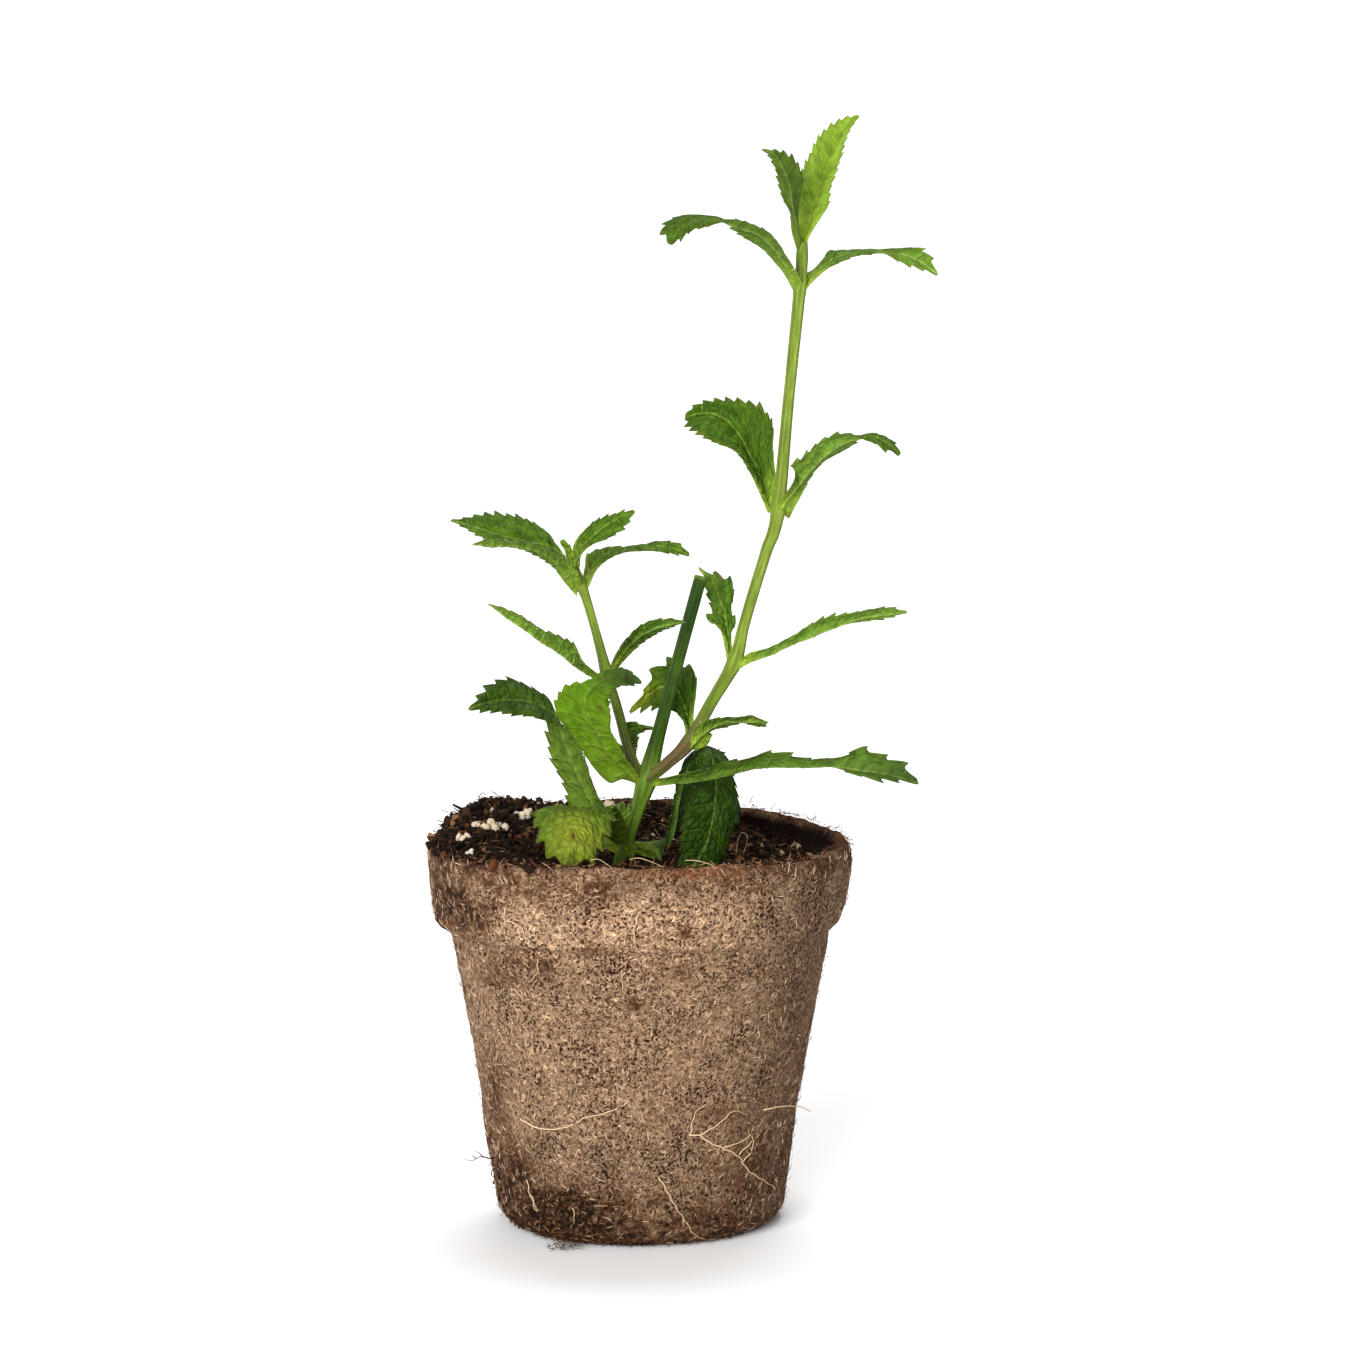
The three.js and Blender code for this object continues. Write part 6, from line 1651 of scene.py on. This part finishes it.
# %% Sprigs and stray roots
SPRIGS = [  # at the left of the foot, and on the heap
    [(-34.6, 12, 86.5), (-34.9, 12, 89.3), (-34.2, 12, 90.4), (-33.3, 12, 90)],
    [(-30.5, 14, 87), (-31.5, 13, 88.6), (-33, 12, 88.8), (-33.8, 11, 87.6)],
    [(-29.5, -10, 15.5), (-32, -11, 15), (-34, -11.5, 15.6), (-36, -12, 14.8), (-37.5, -12, 15.2)],
    [(-33.5, -11.5, 15.3), (-34.5, -11.5, 16.4), (-35.2, -12, 16.8)],
    [(-35, -11.8, 15.2), (-36, -12, 16)],
    [(-30, -9, 17), (-32, -9.5, 18), (-32.3, -10, 20), (-31, -10, 21), (-30, -9.5, 20)],
    [(-29.5, -10, 13), (-31.5, -10.5, 12.6), (-31.8, -10.5, 11.2), (-30.5, -10, 10.6)],
]
RIM_ROOTS = [
    [(-10, -39, 84.8), (-8.5, -40.3, 85.2), (-7, -42.3, 84.8), (-5, -43.9, 83.6)],
    [(-2, -38.5, 84.8), (0, -40, 85.4), (2.5, -41.5, 84.9), (5, -43.8, 84.2)],
    [(9.5, -38.5, 84.6), (11.5, -40.5, 85), (14.5, -42.4, 84.6), (16, -43.8, 83.8)],
    [(20.5, 11, 77), (21, 11, 80.5), (22, 10.5, 82), (23, 10, 81), (22.6, 10, 79), (22, 9, 77.5)],
]
STICK = [[(-37, 9, 86.4), (-38.5, 9, 87.3), (-40.5, 9, 88.4)]]
SPRIG_STEPS, SPRIG_TONE, SPRIG_TONE_CHANGE = 24, 0.45, 0.4
share = np.linspace(0, 1, SPRIG_STEPS)
for name, lines, radius, skin, slot in (
        ("sprigs", SPRIGS, 0.16, peat_fibre, "peat_compost"),
        ("stick", STICK, 0.5, loose_peat, "peat_compost"),
        ("rim_roots", RIM_ROOTS, 0.08, root_skin, "pressed_fibre")):
    tubes = [tube(curve_through(line)[0](share), radius * (1.1 - 0.6 * share)) for line in lines]
    points, faces = joined(tubes)
    mesh_piece(name, points, faces, skin, slot,
               values={"tone": SPRIG_TONE + SPRIG_TONE_CHANGE * lattice_noise(points, 1.5, 83)})

# %% [markdown]
# ## Young leaves and hairs
# The left shoot ends in one tiny leaf, and two withered seed leaves hang at the stem's foot. Short
# white hairs stand on the side shoots and along the leaves' margins, as on the real plant.

# %% Small leaves
SMALL_LOOKS = dict(tooth=1.6, shade=0.4, quilt=1)
# Each one's light is its painted light and shade
SMALL_LEAVES = {  # lines and light of each
    "left_shoot_tip": dict(
        rib=[(-13.5, 0.5, 141), (-15, 0, 144), (-16.5, -0.5, 147)],
        left=[(-14.5, 0.5, 141), (-15.5, 0, 144), (-17, -0.5, 146)],
        right=[(-13, 0.5, 141.5), (-14, 0, 144), (-15, -0.5, 146)],
        light=1.2),
    "seed_leaf_left": dict(
        rib=[(-3.5, -1.5, 80.5), (-2.5, -3, 81.2), (-2, -4.5, 80.3), (-1.8, -5.5, 78.8)],
        left=[(-3.2, -1, 80.8), (-1.4, -2.6, 81.4), (-0.8, -4.2, 80.2)],
        right=[(-3.8, -1.8, 80.2), (-3.6, -3.2, 80.8), (-3.2, -4.8, 79.8)],
        light=0.55),
    "seed_leaf_right": dict(
        rib=[(-1.5, -1.5, 81), (0.5, -3, 81.6), (3, -5, 80.8), (4.5, -6.5, 78.6)],
        left=[(-1.3, -1.2, 81.4), (1, -2.6, 82), (3.8, -4.4, 81)],
        right=[(-1.7, -1.8, 80.7), (0, -3.4, 81), (2.2, -5.4, 80.1)],
        light=0.6),
}
for seed, (name, leaf) in enumerate(SMALL_LEAVES.items(), 90):
    add_leaf(name, {**SMALL_LOOKS, **leaf}, seed)

# %% Hairs
STEM_HAIRS, MARGIN_HAIRS = 1300, 130  # on each side shoot, and on each leaf
HAIR_LENGTH, HAIR_RADIUS = (0.35, 0.9), 0.022
MARGIN_HAIR_SIZE = 0.6  # how long a margin's hairs are beside a stem's
HAIR_ROOT = 0.95  # share of the stem's half thickness
hair_threads = []
for name in ("left_shoot", "right_shoot"):
    middle = stem_middles[name]
    at = random.integers(1, len(middle) - 1, STEM_HAIRS)
    tangent = unit(middle[at + 1] - middle[at - 1])
    aside = unit(np.cross(tangent, random.normal(size=(STEM_HAIRS, 3))))
    starts = aside * HAIR_ROOT * along(STEMS[name]["half"], at / len(middle))[:, None] + middle[at]
    hair_threads.append(threads(starts, unit(aside + 0.25 * tangent), -0.2 * aside,
                                random.uniform(*HAIR_LENGTH, STEM_HAIRS), HAIR_RADIUS))
for shape in leaf_shapes:
    edge = np.flatnonzero((np.abs(shape["v"]) > 0.93) & (shape["u"] > 0.05))
    at = edge[random.integers(0, len(edge), MARGIN_HAIRS)]
    way = unit(random.normal(size=(MARGIN_HAIRS, 3)))
    lengths = random.uniform(*HAIR_LENGTH, MARGIN_HAIRS) * MARGIN_HAIR_SIZE
    starts = shape["points"][at]
    hair_threads.append(threads(starts, way, 0.2 * way[:, ::-1], lengths, HAIR_RADIUS))
points, faces = joined(hair_threads)
plant_hair = loose_bits("plant hair", ((0, "b7c48f"), (1, "dfe6c4")), 0.5, 0.5, 0.01)
mesh_piece("plant_hairs", points, faces, plant_hair, "side_shoot",
           values={"tone": random.uniform(0, 1, len(points))})

# %% [markdown]
# ## Floor and light
# The plant stands on a plain white floor that runs out past every edge of the picture. A soft light
# high behind it draws the short faint shadow before the pot, a wide one at the front, a little to
# the left, shapes the pot and leaves, and a pale sky fills the rest, as in a white studio. Lights
# with a direction but no place reach every metre of the floor alike, so it stays one even white.

# %% Floor and light
FLOOR_HALF = 30  # metres
SKY = 0.35  # strength
LIGHTS = {  # where from, softness in degrees, strength
    "high light": ((0.05, 0.42, 1.0), 35, 2.2),
    "front light": ((-0.37, -0.93, 0.31), 42, 5.2),
}

floor_mesh = bpy.data.meshes.new("floor")
corners = FLOOR_HALF * np.array([(-1, -1, 0), (1, -1, 0), (1, 1, 0), (-1, 1, 0)])
floor_mesh.from_pydata(corners.tolist(), [], [(0, 1, 2, 3)])
floor_paper, tree = new_material("white studio paper")
finish_skin(tree, linear("fafafa"), 0.95, 0.1)
floor_mesh.materials.append(floor_paper)
floor = bpy.data.objects.new("floor", floor_mesh)
bpy.context.scene.collection.objects.link(floor)

world = bpy.data.worlds.new("studio sky")
world.use_nodes = True
sky = world.node_tree.nodes["Background"]
sky.inputs["Color"].default_value = linear("ffffff")
sky.inputs["Strength"].default_value = SKY
bpy.context.scene.world = world

for name, (come_from, softness, strength) in LIGHTS.items():
    lamp_data = bpy.data.lights.new(name, "SUN")
    lamp_data.angle, lamp_data.energy = np.radians(softness), strength
    lamp = bpy.data.objects.new(name, lamp_data)
    lamp.rotation_euler = (-Vector(come_from)).to_track_quat("-Z", "Y").to_euler()
    bpy.context.scene.collection.objects.link(lamp)
bpy.context.scene.view_settings.view_transform = "Standard"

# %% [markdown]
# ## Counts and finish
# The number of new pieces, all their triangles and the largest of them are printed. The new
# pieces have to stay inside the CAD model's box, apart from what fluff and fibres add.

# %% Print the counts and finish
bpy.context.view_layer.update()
total = sum(count for _, count in made)
largest = max(made, key=lambda piece: piece[1])
print(f"{len(made)} pieces, {total} triangles, the largest {largest}")
